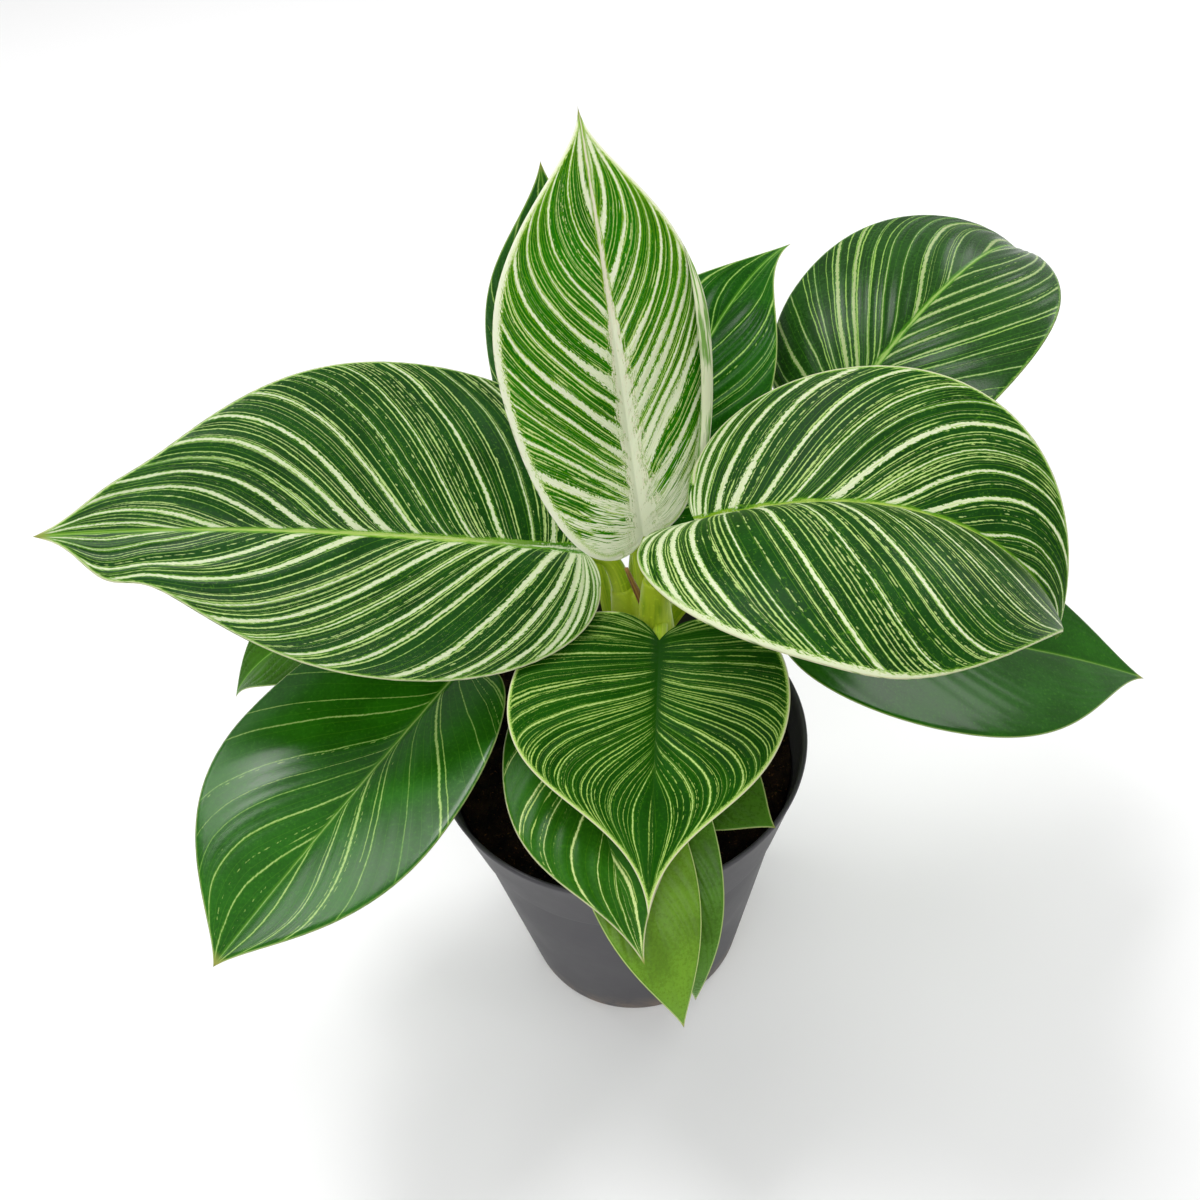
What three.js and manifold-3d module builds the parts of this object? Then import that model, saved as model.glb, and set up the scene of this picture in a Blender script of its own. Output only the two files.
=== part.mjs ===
// Philodendron birkin in a 12 cm nursery pot. Millimetres, +Z up.
// The origin is the centre of the pot's underside. +Y points to the back of the plant.

import * as THREE from 'three';
import { mergeVertices } from 'three/addons/utils/BufferGeometryUtils.js';
import Module from 'manifold-3d';

const wasm = await Module();
wasm.setup();

// ---------------------------------------------------------------- driving dimensions

const FIT_GAP = 0.3; // clearance between pieces that touch on the plant
const WELD = 0.001; // vertices closer than this are one

const POT = {
  height: 118,
  rimRadius: 60,
  collarDepth: 29, // the wider band under the rim
  collarRadius: 54,
  collarStep: 0.8, // the band stands this far out of the lower wall
  baseRadius: 40,
  baseEdge: 1.5, // rounding of the bottom edge
  collarEdge: 1, // height of the slope under the band
  rimEdge: [0.4, 1], // bevel of the rim: its depth and its height
  wall: 1.4,
  floor: 1.6,
  segments: 40,
  drainHoles: 6,
  drainRadius: 4,
  drainRing: 28, // radius of the ring that the drain holes lie on
  drainSides: 12,
};

const SOIL = {
  level: 106,
  bumpHeight: 1.6,
  waves: [0.19, 0.23, 0.41, 0.33], // radians for each millimetre
  rings: 4,
  segments: 32,
};

const STEM = {
  foot: [8, 9, 82], // centre of the stem's lower end, in the soil
  top: [11, 15, 138],
  footRadius: 8,
  topRadius: 6,
  knuckle: 0.5, // the rings that old leaves left stand this far out
  sides: 12,
  rings: 6,
};

const BLADE = {
  thickness: 0.9,
  ridge: 1.6, // how far the midrib stands out of the underside at the base
  slant: 1.3, // how far a vein runs forward for each unit outward
  bow: 0.26, // how far a vein bends out of its straight line
  lobeShare: 0.36, // part of each half outline behind the widest place
  innerLobe: 0.3, // where the outline starts, in half widths from the midrib
  shoulder: 0.87, // place of the swelling behind the tip
  shoulderLength: 0.06,
  widestHandle: 0.5, // handles of the front curve: at the widest place,
  tipHandle: [0.22, 0.38], // at the tip of a blunt blade, with what point adds,
  tipRise: 0.45, // and how far out that one stands on a blunt blade
  level: 2, // the fold fades in over this distance from the midrib
  midribSteps: 48,
  behind: 0.35, // the midrib line is carried on behind the base for the lobes
  largeFrom: 90, // blades from this length get the finer grid
  largeGrid: { veins: 14, places: [0, 0.1, 0.4, 0.7, 1] },
  smallGrid: { veins: 10, places: [0, 0.1, 0.55, 1] },
};

const PETIOLE = {
  sides: 8,
  steps: 7,
  stub: 3.5, // the part of the stalk that is one with the blade
  stubFade: 4, // the stub runs out under the midrib over this many radii,
  stubEnd: 0.4, // and is this many radii thick and deep there
  neck: 3, // the straight end of the stalk, next to the blade
  hang: 1.3, // how far the stalk lies below the midrib where it meets the blade, in radii
  socket: 3, // how deep a stalk is set into its sheath
  sheath: 0.5, // share of a stem petiole that is wrapped in its sheath, which is one with the stem
  sheathRadius: 6.5,
  sheathLip: 1.2, // how far the sheath's upper edge stands out of the petiole
  sheathSteps: 5,
  rootHeight: 94, // where the stalks that stand in the soil start
};

// The dry sheath that the newest leaf came out of, now a thin strip along the petioles.
const CATAPHYLL = {
  line: [[13, 14, 136], [13, 16, 148], [9, 16, 164], [6, 16, 175]],
  radii: [1.1, 1.1, 0.9, 0.5],
};

const FINISHES = {
  pot: { color: 0x34333a, roughness: 0.55 },
  soil: { color: 0x2a1d16, roughness: 0.95 },
  stem: { color: 0x6f7f2c, roughness: 0.6 },
  petiole: { color: 0x93ab35, roughness: 0.5 },
  cataphyll: { color: 0x8a5a35, roughness: 0.7 },
  youngBlade: { color: 0xa9c47a, roughness: 0.45 },
  stripedBlade: { color: 0x2f5a33, roughness: 0.45 },
  plainBlade: { color: 0x3a7a2c, roughness: 0.45 },
};

// One entry for each leaf, newest first.
// base: place where the stalk meets the blade. heading: compass direction of the midrib, 0 = +X, 90 = +Y.
// rise: slope of the midrib at the base. arch: how far the slope drops by the tip, and late how much of that
// comes near the tip. swing: sideways bend. roll: tilt about the midrib at the base, and twist its change.
// fold: slope of each half blade at the midrib. curl: change of that slope by the margin (left, right).
// stalk: the petiole, from a node height on the stem or from a place in the soil; turn and lean are its
// direction there, pull how stiffly it keeps its directions, and radius its size at both ends.
// point: how slender the front is. drip: how far the tip is drawn in, and over what share of the blade.
// swell: height of the swelling behind the tip (left, right).
// Lengths are in millimetres, angles in degrees, and lobe, skew, widest, point, drip and swell are shares.
const LEAVES = [
  {
    name: 'leaf_01', finish: 'youngBlade', base: [12, 25, 179], heading: 107, rise: 76, arch: 18, late: 1.5,
    swing: -8, roll: 16, twist: -7, length: 122, width: 66, skew: 0.18, fold: [21, 5], curl: [-18, 11],
    lobe: [0, 0], widest: 0.51, point: 0.15, drip: [0.97, 0.1], swell: [0, 0],
    stalk: { node: 130, turn: -15, lean: 75, pull: 0.3, radius: [4.6, 2.6] },
  },
  {
    name: 'leaf_02', finish: 'stripedBlade', base: [-7, 26, 175], heading: 187, rise: 19, arch: 18, late: 1.6,
    swing: -6, roll: -22, twist: -8, length: 156, width: 102, skew: -0.14, fold: [10, 12], curl: [-27, -21],
    lobe: [0.03, 0.08], widest: 0.31, point: 0.41, drip: [0.1, 0.04], swell: [0.038, 0.012],
    stalk: { node: 124, turn: 0, lean: 65, pull: 0.22, radius: [4.6, 2.6] },
  },
  {
    name: 'leaf_03', finish: 'stripedBlade', base: [26, 8, 199], heading: -11, rise: 22, arch: 103, late: 1.7,
    swing: -14, roll: -4, twist: 17, length: 122, width: 107, skew: -0.23, fold: [23, 41], curl: [0, -57],
    lobe: [0, 0.08], widest: 0.4, point: 0.41, drip: [0.1, 0.04], swell: [0, 0],
    stalk: { node: 126, turn: 0, lean: 75, pull: 0.2, radius: [4.6, 2.6] },
  },
  {
    name: 'leaf_04', finish: 'stripedBlade', base: [14, 0, 160], heading: 263, rise: -8, arch: 32, late: 1.4,
    swing: -2, roll: 1, twist: 3, length: 83, width: 83, skew: -0.03, fold: [13, 12], curl: [16, 0],
    lobe: [0.06, 0.1], widest: 0.3, point: 0.85, drip: [0.4, 0.06], swell: [0, 0],
    stalk: { node: 122, turn: 0, lean: 60, pull: 0.35, radius: [3.2, 2.2] },
  },
  {
    name: 'leaf_05', finish: 'stripedBlade', base: [-10, -5, 139], heading: 271, rise: -3, arch: 23,
    late: 1.4, swing: 15, roll: 2, twist: 2, length: 82, width: 55, skew: 0.02, fold: [12, 12],
    curl: [-15, -15], lobe: [0.12, 0.12], widest: 0.32, point: 0.51, drip: [0.1, 0.1], swell: [0, 0],
    stalk: { soil: [-9, -5], lean: 70, pull: 0.25, radius: [2.8, 1.8] },
  },
  {
    name: 'leaf_06', finish: 'plainBlade', base: [-47, 8, 146], heading: 230, rise: -8, arch: 1, late: 1.4,
    swing: 3, roll: -5, twist: -4, length: 111, width: 78, skew: -0.13, fold: [19, 16], curl: [-12, -22],
    lobe: [0.03, 0.11], widest: 0.45, point: 0.06, drip: [0.41, 0.07], swell: [0, 0],
    stalk: { soil: [-5, 3], lean: 88, pull: 0.5, radius: [3.2, 2.2] },
  },
  {
    name: 'leaf_07', finish: 'plainBlade', base: [-67, 33, 148], heading: 189, rise: 5, arch: 67, late: 1.4,
    swing: 1, roll: -7, twist: -5, length: 70, width: 37, skew: 0, fold: [12, 13], curl: [-15, -13],
    lobe: [0.12, 0.12], widest: 0.35, point: 0.35, drip: [0.4, 0.06], swell: [0, 0],
    stalk: { soil: [-5, 13], lean: 70, pull: 0.25, radius: [2.8, 1.8] },
  },
  {
    name: 'leaf_08', finish: 'plainBlade', base: [53, 14, 149], heading: -1, rise: -12, arch: 19, late: 1.3,
    swing: 3, roll: 3, twist: 9, length: 135, width: 78, skew: -0.03, fold: [13, 14], curl: [-12, -15],
    lobe: [0.12, 0.01], widest: 0.38, point: 0.29, drip: [0.41, 0.06], swell: [0, 0],
    stalk: { soil: [22, 11], lean: 70, pull: 0.25, radius: [3.2, 2] },
  },
  {
    name: 'leaf_09', finish: 'stripedBlade', base: [73, 48, 198], heading: 34, rise: 44, arch: 96, late: 1.2,
    swing: 20, roll: 1, twist: 15, length: 124, width: 80, skew: 0.04, fold: [10, 10], curl: [-29, -6],
    lobe: [0.05, 0.12], widest: 0.25, point: 0.49, drip: [0.4, 0.06], swell: [0, 0],
    stalk: { soil: [11, 31], lean: 88, pull: 0.5, radius: [3.2, 2.2] },
  },
  {
    name: 'leaf_10', finish: 'plainBlade', base: [13, 43, 172], heading: 54, rise: 56, arch: 66, late: 1.5,
    swing: -6, roll: 2, twist: 1, length: 107, width: 59, skew: 0.03, fold: [13, 12], curl: [-14, -15],
    lobe: [0.12, 0.12], widest: 0.32, point: 0.61, drip: [0.4, 0.06], swell: [0, 0],
    stalk: { node: 120, turn: 0, lean: 60, pull: 0.35, radius: [3.2, 2] },
  },
  {
    name: 'leaf_11', finish: 'plainBlade', base: [-6, 75, 163], heading: 95, rise: 64, arch: -14, late: 1.4,
    swing: 2, roll: -29, twist: 10, length: 101, width: 57, skew: 0.03, fold: [9, 9], curl: [-29, -24],
    lobe: [0.12, 0.12], widest: 0.36, point: 0.32, drip: [0.33, 0.06], swell: [0, 0],
    stalk: { soil: [5, 23], lean: 70, pull: 0.25, radius: [3.2, 2] },
  },
  {
    name: 'leaf_12', finish: 'plainBlade', base: [-5, -24, 134], heading: 282, rise: -7, arch: 66, late: 1.6,
    swing: 5, roll: 0, twist: 0, length: 84, width: 33, skew: -0.05, fold: [12, 12], curl: [-16, -15],
    lobe: [0.03, 0.03], widest: 0.35, point: 0.26, drip: [0.36, 0.06], swell: [0, 0],
    stalk: { soil: [3, -4], lean: 70, pull: 0.25, radius: [2.2, 1.4] },
  },
  {
    name: 'leaf_13', finish: 'plainBlade', base: [10, -22, 132], heading: 277, rise: -7, arch: 94, late: 1.6,
    swing: -2, roll: 2, twist: 1, length: 84, width: 25, skew: 0, fold: [12, 11], curl: [-15, -16],
    lobe: [0.03, 0.03], widest: 0.36, point: 0.45, drip: [0.39, 0.06], swell: [0, 0],
    stalk: { soil: [15, -3], lean: 88, pull: 0.5, radius: [2.2, 1.4] },
  },
  {
    name: 'leaf_14', finish: 'plainBlade', base: [14, -11, 119], heading: -51, rise: 7, arch: 4, late: 1.4,
    swing: 4, roll: 8, twist: 6, length: 45, width: 32, skew: -0.04, fold: [12, 10], curl: [-15, -18],
    lobe: [0.03, 0.03], widest: 0.35, point: 0.22, drip: [0.37, 0.06], swell: [0, 0],
    stalk: { soil: [13, -8], lean: 70, pull: 0.25, radius: [2.2, 1.4] },
  },
];

// ---------------------------------------------------------------- small helpers

const radians = THREE.MathUtils.degToRad;
const clamp01 = (value) => THREE.MathUtils.clamp(value, 0, 1);
const vector = (xyz) => new THREE.Vector3(...xyz);

function geometryFromTriangles(points, triangles) {
  const geometry = new THREE.BufferGeometry();
  geometry.setAttribute('position', new THREE.Float32BufferAttribute(points.flatMap((p) => p.toArray()), 3));
  geometry.setIndex(triangles.flat());
  return geometry;
}

// Vertices that lie together become one, and the triangles that this flattens are dropped.
function weld(geometry) {
  geometry.deleteAttribute('normal');
  geometry.deleteAttribute('uv');
  const merged = mergeVertices(geometry, WELD);
  const index = Array.from(merged.getIndex().array);
  const kept = [];
  for (let i = 0; i < index.length; i += 3) {
    const [a, b, c] = index.slice(i, i + 3);
    if (a !== b && b !== c && c !== a) kept.push(a, b, c);
  }
  merged.setIndex(kept);
  return merged;
}

function toSolid(geometry) {
  const welded = weld(geometry);
  return new wasm.Manifold(
    new wasm.Mesh({
      numProp: 3,
      vertProperties: new Float32Array(welded.getAttribute('position').array),
      triVerts: new Uint32Array(welded.getIndex().array),
    }),
  );
}

function toGeometry(solid) {
  const mesh = solid.getMesh();
  const geometry = new THREE.BufferGeometry();
  geometry.setAttribute('position', new THREE.Float32BufferAttribute(mesh.vertProperties, 3));
  geometry.setIndex(Array.from(mesh.triVerts));
  return geometry;
}

// A round stalk along a line of points, with a radius for each point.
function stalk(points, radii, sides) {
  const vertices = [];
  const triangles = [];
  const forward = points.map((_, i) => {
    const before = points[Math.max(i - 1, 0)];
    const after = points[Math.min(i + 1, points.length - 1)];
    return after.clone().sub(before).normalize();
  });
  let across = new THREE.Vector3(0, 0, 1).cross(forward[0]);
  if (across.length() < 0.1) across = new THREE.Vector3(1, 0, 0);
  points.forEach((point, i) => {
    across.addScaledVector(forward[i], -across.dot(forward[i])).normalize();
    const up = forward[i].clone().cross(across);
    for (let k = 0; k < sides; k += 1) {
      const angle = (2 * Math.PI * k) / sides;
      const rim = point.clone();
      rim.addScaledVector(across, radii[i] * Math.cos(angle));
      rim.addScaledVector(up, radii[i] * Math.sin(angle));
      vertices.push(rim);
    }
  });
  const ring = (i, k) => i * sides + (k % sides);
  for (let i = 0; i < points.length - 1; i += 1) {
    for (let k = 0; k < sides; k += 1) {
      triangles.push([ring(i, k), ring(i, k + 1), ring(i + 1, k + 1)]);
      triangles.push([ring(i, k), ring(i + 1, k + 1), ring(i + 1, k)]);
    }
  }
  const last = points.length - 1;
  for (let k = 1; k < sides - 1; k += 1) {
    triangles.push([ring(0, 0), ring(0, k + 1), ring(0, k)]);
    triangles.push([ring(last, 0), ring(last, k), ring(last, k + 1)]);
  }
  return geometryFromTriangles(vertices, triangles);
}

// ---------------------------------------------------------------- blades

function bezier(p0, p1, p2, p3, t) {
  const s = 1 - t;
  return s ** 3 * p0 + 3 * s * s * t * p1 + 3 * s * t * t * p2 + t ** 3 * p3;
}

// The half outline, from the back of the lobe (u = 0) to the tip (u = 1), in blade lengths.
function outline(leaf, u, halfWidth, lobe, swell) {
  const quarter = 0.5523; // handle length that makes a Bezier curve round
  const inner = BLADE.innerLobe * halfWidth;
  const front = 1 - leaf.widest;
  let x;
  let y;
  if (u < BLADE.lobeShare) {
    const t = u / BLADE.lobeShare;
    x = bezier(-lobe, -lobe, leaf.widest - quarter * (leaf.widest + lobe), leaf.widest, t);
    y = bezier(inner, inner + quarter * (halfWidth - inner), halfWidth, halfWidth, t);
  } else {
    const t = (u - BLADE.lobeShare) / (1 - BLADE.lobeShare);
    const tipHandle = (BLADE.tipHandle[0] + BLADE.tipHandle[1] * leaf.point) * front;
    x = bezier(leaf.widest, leaf.widest + BLADE.widestHandle * front, 1 - tipHandle, 1, t);
    y = bezier(halfWidth, halfWidth, (1 - leaf.point) * BLADE.tipRise * halfWidth, 0, t);
  }
  y *= 1 - leaf.drip[0] * Math.exp((x - 1) / leaf.drip[1]);
  if (u < 1) y += swell * Math.exp(-(((x - BLADE.shoulder) / BLADE.shoulderLength) ** 2));
  return { x, y };
}

// A place on the flat blade: u picks the side vein, v runs along it from the midrib to the margin.
function flatPoint(leaf, side, u, v) {
  const half = leaf.width / leaf.length / 2;
  const own = side > 0 ? 0 : 1;
  const margin = outline(leaf, u, half * (1 + side * leaf.skew), leaf.lobe[own], leaf.swell[own]);
  const mean = outline(leaf, u, half, (leaf.lobe[0] + leaf.lobe[1]) / 2, (leaf.swell[0] + leaf.swell[1]) / 2);
  const start = Math.max(0, mean.x - BLADE.slant * mean.y);
  const run = margin.x - start;
  const bendX = (start + margin.x) / 2 - BLADE.bow * margin.y;
  const bendY = margin.y / 2 + BLADE.bow * run;
  const w = 1 - v;
  return {
    x: w * w * start + 2 * w * v * bendX + v * v * margin.x,
    y: 2 * w * v * bendY + v * v * margin.y,
  };
}

// The midrib as a line in space, with the directions across and out of the blade along it.
function midribOf(leaf) {
  const samples = [];
  const step = (1 + BLADE.behind) / BLADE.midribSteps;
  let point = new THREE.Vector3();
  let previous = null;
  for (let i = 0; i <= BLADE.midribSteps; i += 1) {
    const x = -BLADE.behind + i * step;
    const run = Math.max(x, 0);
    const slope = radians(leaf.rise - leaf.arch * run ** leaf.late);
    const heading = radians(leaf.heading + leaf.swing * run);
    const roll = radians(leaf.roll + leaf.twist * run);
    const along = new THREE.Vector3(
      Math.cos(slope) * Math.cos(heading),
      Math.cos(slope) * Math.sin(heading),
      Math.sin(slope),
    );
    const level = new THREE.Vector3(-Math.sin(heading), Math.cos(heading), 0);
    const across = level.clone().applyAxisAngle(along, roll);
    const out = along.clone().cross(across);
    if (previous) {
      point = point.clone().addScaledVector(previous.along, (step * leaf.length) / 2);
      point.addScaledVector(along, (step * leaf.length) / 2);
    }
    previous = { x, point, along, across, out };
    samples.push(previous);
  }
  const at = (x) => {
    const place = THREE.MathUtils.clamp((x + BLADE.behind) / step, 0, BLADE.midribSteps);
    const i = Math.min(Math.floor(place), BLADE.midribSteps - 1);
    const mix = (key) => samples[i][key].clone().lerp(samples[i + 1][key], place - i);
    return { point: mix('point'), along: mix('along'), across: mix('across'), out: mix('out') };
  };
  const shift = vector(leaf.base).sub(at(0).point);
  samples.forEach((sample) => sample.point.add(shift));
  return at;
}

// The bent blade: the middle surface and its outward direction at (u, v) of one half.
function bladePoint(leaf, midrib, side, u, v) {
  const flat = flatPoint(leaf, side, u, v);
  const own = side > 0 ? 0 : 1;
  const reach = flat.y * leaf.length;
  const fold = radians(leaf.fold[own]);
  const bend = (radians(leaf.curl[own]) || 1e-6) / (leaf.width / 2);
  const slope = fold + bend * reach;
  const frame = midrib(flat.x);
  const point = frame.point.clone();
  point.addScaledVector(frame.across, (side * (Math.sin(slope) - Math.sin(fold))) / bend);
  point.addScaledVector(frame.out, (Math.cos(fold) - Math.cos(slope)) / bend);
  const tilt = (slope * reach) / (reach + BLADE.level); // nothing on the midrib, so both halves agree there
  const normal = frame.out.clone().multiplyScalar(Math.cos(tilt));
  normal.addScaledVector(frame.across, -side * Math.sin(tilt));
  return { point, normal, x: flat.x };
}

function bladeGeometry(leaf, midrib) {
  const { veins, places } = leaf.length > BLADE.largeFrom ? BLADE.largeGrid : BLADE.smallGrid;
  const half = BLADE.thickness / 2;
  const vertices = [];
  const triangles = [];
  const number = {};
  for (const side of [1, -1]) {
    for (let i = 0; i <= veins; i += 1) {
      places.forEach((v, j) => {
        const { point, normal, x } = bladePoint(leaf, midrib, side, i / veins, v);
        const ridge = j === 0 ? BLADE.ridge * (1 - clamp01(x)) : 0;
        number[[side, i, j, 'upper']] = vertices.length;
        vertices.push(point.clone().addScaledVector(normal, half));
        number[[side, i, j, 'lower']] = vertices.length;
        vertices.push(point.clone().addScaledVector(normal, -half - ridge));
      });
    }
  }
  const quad = (a, b, c, d, flip) => {
    triangles.push(flip ? [a, c, b] : [a, b, c]);
    triangles.push(flip ? [a, d, c] : [a, c, d]);
  };
  const last = places.length - 1;
  for (const side of [1, -1]) {
    const at = (i, j, face) => number[[side, i, j, face]];
    for (let i = 0; i < veins; i += 1) {
      for (let j = 0; j < last; j += 1) {
        for (const face of ['upper', 'lower']) {
          const flip = (side > 0) !== (face === 'upper');
          quad(at(i, j, face), at(i + 1, j, face), at(i + 1, j + 1, face), at(i, j + 1, face), flip);
        }
      }
      const upper = [at(i, last, 'upper'), at(i + 1, last, 'upper')];
      const lower = [at(i + 1, last, 'lower'), at(i, last, 'lower')];
      quad(...upper, ...lower, side < 0);
    }
    for (let j = 0; j < last; j += 1) {
      quad(at(0, j, 'lower'), at(0, j + 1, 'lower'), at(0, j + 1, 'upper'), at(0, j, 'upper'), side > 0);
    }
  }
  return geometryFromTriangles(vertices, triangles);
}

// The line of the stalk under the midrib: it hangs below the blade by a share of its radius.
function stalkPlace(leaf, midrib, x, share) {
  const frame = midrib(x);
  return frame.point.addScaledVector(frame.out, -leaf.stalk.radius[1] * share);
}

// The first few millimetres of the stalk, which are one with the blade.
function stubGeometry(leaf, midrib) {
  const radius = leaf.stalk.radius[1];
  const line = [
    stalkPlace(leaf, midrib, -PETIOLE.stub / leaf.length, PETIOLE.hang),
    stalkPlace(leaf, midrib, 0, PETIOLE.hang),
    stalkPlace(leaf, midrib, (PETIOLE.stubFade * radius) / leaf.length, PETIOLE.stubEnd),
  ];
  return stalk(line, [radius, radius, radius * PETIOLE.stubEnd], PETIOLE.sides);
}

// ---------------------------------------------------------------- stem and petioles

function stemCentre(height) {
  const foot = vector(STEM.foot);
  const top = vector(STEM.top);
  return foot.lerp(top, (height - STEM.foot[2]) / (STEM.top[2] - STEM.foot[2]));
}

function stemRadius(height) {
  const share = (height - STEM.foot[2]) / (STEM.top[2] - STEM.foot[2]);
  return THREE.MathUtils.lerp(STEM.footRadius, STEM.topRadius, share);
}

function stemGeometry(grow) {
  const points = [];
  const radii = [];
  for (let i = 0; i <= STEM.rings; i += 1) {
    const height = THREE.MathUtils.lerp(STEM.foot[2] - grow, STEM.top[2] + grow, i / STEM.rings);
    const knuckle = i % 2 === 0 ? STEM.knuckle : 0;
    points.push(stemCentre(height));
    radii.push(stemRadius(height) + knuckle + grow);
  }
  return stalk(points, radii, STEM.sides);
}

// Where a petiole starts and the way it leaves: from a node of the stem, or from the soil beside it.
function petioleStart(leaf) {
  const { node, turn, soil, lean } = leaf.stalk;
  const centre = soil ? new THREE.Vector3(...soil, PETIOLE.rootHeight) : stemCentre(node);
  const azimuth = Math.atan2(leaf.base[1] - centre.y, leaf.base[0] - centre.x) + radians(turn ?? 0);
  const outward = new THREE.Vector3(Math.cos(azimuth), Math.sin(azimuth), 0);
  const start = soil ? centre : centre.addScaledVector(outward, stemRadius(node) / 2);
  const leave = outward.clone().multiplyScalar(Math.cos(radians(lean)));
  leave.z = Math.sin(radians(lean));
  return { start, leave };
}

// The petiole's line: a curve from its start to the straight neck behind the blade's stub.
function petioleLine(leaf, midrib) {
  const along = midrib(0).along;
  const end = stalkPlace(leaf, midrib, 0, PETIOLE.hang).addScaledVector(along, -PETIOLE.stub - FIT_GAP);
  const neck = end.clone().addScaledVector(along, -PETIOLE.neck);
  const { start, leave } = petioleStart(leaf);
  const pull = leaf.stalk.pull * start.distanceTo(neck);
  const curve = new THREE.CubicBezierCurve3(
    start,
    start.clone().addScaledVector(leave, pull),
    neck.clone().addScaledVector(along, -pull),
    neck,
  );
  const radius = (t) => THREE.MathUtils.lerp(...leaf.stalk.radius, t);
  return { curve, along, end, radius };
}

function petioleGeometry(leaf, midrib, grow) {
  const { curve, along, end, radius } = petioleLine(leaf, midrib);
  const from = leaf.stalk.soil ? 0 : PETIOLE.sheath;
  const points = [];
  const radii = [];
  for (let i = 0; i <= PETIOLE.steps; i += 1) {
    const t = THREE.MathUtils.lerp(from, 1, i / PETIOLE.steps);
    points.push(curve.getPoint(t));
    radii.push(radius(t) + grow);
  }
  points[0].addScaledVector(curve.getTangent(from), -grow);
  points.push(end.addScaledVector(along, grow));
  radii.push(radius(1) + grow);
  return stalk(points, radii, PETIOLE.sides);
}

// The lower, broader part of a stem petiole, which wraps the stem.
function sheathGeometry(leaf, midrib) {
  const { curve, radius } = petioleLine(leaf, midrib);
  const to = PETIOLE.sheath + PETIOLE.socket / curve.getLength();
  const points = [];
  const radii = [];
  for (let i = 0; i <= PETIOLE.sheathSteps; i += 1) {
    const share = i / PETIOLE.sheathSteps;
    points.push(curve.getPoint(share * to));
    radii.push(THREE.MathUtils.lerp(PETIOLE.sheathRadius, radius(to) + PETIOLE.sheathLip, share));
  }
  return stalk(points, radii, PETIOLE.sides);
}

// ---------------------------------------------------------------- pot and soil

function potWallRadius(height) {
  const collarFoot = POT.height - POT.collarDepth;
  if (height >= collarFoot) {
    return THREE.MathUtils.mapLinear(height, collarFoot, POT.height, POT.collarRadius, POT.rimRadius);
  }
  const lowerTop = POT.collarRadius - POT.collarStep;
  return THREE.MathUtils.mapLinear(height, 0, collarFoot, POT.baseRadius, lowerTop);
}

function potSolid() {
  const collarFoot = POT.height - POT.collarDepth;
  const profile = [
    [0, 0],
    [POT.baseRadius - POT.baseEdge, 0],
    [potWallRadius(POT.baseEdge), POT.baseEdge],
    [POT.collarRadius - POT.collarStep, collarFoot - POT.collarEdge],
    [POT.collarRadius, collarFoot],
    [POT.rimRadius, POT.height - POT.rimEdge[1]],
    [POT.rimRadius - POT.rimEdge[0], POT.height],
    [POT.rimRadius - POT.wall, POT.height],
    [POT.collarRadius - POT.wall, collarFoot + POT.collarEdge],
    [potWallRadius(collarFoot - POT.collarEdge) - POT.wall, collarFoot - POT.collarEdge],
    [potWallRadius(POT.floor) - POT.wall, POT.floor],
    [0, POT.floor],
  ];
  const points = profile.map(([radius, height]) => new THREE.Vector2(radius, height));
  let pot = toSolid(new THREE.LatheGeometry(points, POT.segments).rotateX(Math.PI / 2));
  for (let i = 0; i < POT.drainHoles; i += 1) {
    const angle = (2 * Math.PI * i) / POT.drainHoles;
    const hole = new THREE.CylinderGeometry(POT.drainRadius, POT.drainRadius, 3 * POT.floor, POT.drainSides);
    hole.rotateX(Math.PI / 2);
    hole.translate(POT.drainRing * Math.cos(angle), POT.drainRing * Math.sin(angle), POT.floor / 2);
    pot = pot.subtract(toSolid(hole));
  }
  return pot;
}

function soilSurface(x, y) {
  const [a, b, c, d] = SOIL.waves;
  const height = Math.sin(a * x + 1) * Math.cos(b * y) + Math.sin(c * x - d * y);
  return SOIL.level + (SOIL.bumpHeight * height) / 2;
}

function soilGeometry() {
  const gap = POT.wall + FIT_GAP;
  const vertices = [new THREE.Vector3(0, 0, POT.floor + FIT_GAP)];
  const triangles = [];
  const n = SOIL.segments;
  const collarFoot = POT.height - POT.collarDepth;
  const rings = [
    [potWallRadius(POT.floor) - gap, POT.floor + FIT_GAP],
    [potWallRadius(collarFoot - POT.collarEdge) - gap, collarFoot - POT.collarEdge],
    [POT.collarRadius - gap, collarFoot + POT.collarEdge],
  ];
  const edge = potWallRadius(SOIL.level - SOIL.bumpHeight) - gap;
  for (let i = SOIL.rings; i >= 1; i -= 1) rings.push([(edge * i) / SOIL.rings, null]);
  rings.forEach(([radius, height]) => {
    for (let k = 0; k < n; k += 1) {
      const x = radius * Math.cos((2 * Math.PI * k) / n);
      const y = radius * Math.sin((2 * Math.PI * k) / n);
      vertices.push(new THREE.Vector3(x, y, height ?? soilSurface(x, y)));
    }
  });
  vertices.push(new THREE.Vector3(0, 0, soilSurface(0, 0)));
  const at = (i, k) => 1 + i * n + (k % n);
  for (let k = 0; k < n; k += 1) {
    triangles.push([0, at(0, k + 1), at(0, k)]);
    for (let i = 0; i < rings.length - 1; i += 1) {
      triangles.push([at(i, k), at(i, k + 1), at(i + 1, k + 1)]);
      triangles.push([at(i, k), at(i + 1, k + 1), at(i + 1, k)]);
    }
    triangles.push([at(rings.length - 1, k), at(rings.length - 1, k + 1), vertices.length - 1]);
  }
  return geometryFromTriangles(vertices, triangles);
}

// ---------------------------------------------------------------- the plant

const plant = new THREE.Group();

function add(name, solid, finish) {
  const material = new THREE.MeshStandardMaterial({ ...FINISHES[finish], metalness: 0 });
  const mesh = new THREE.Mesh(toGeometry(solid), material);
  mesh.name = name;
  plant.add(mesh);
}

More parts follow.
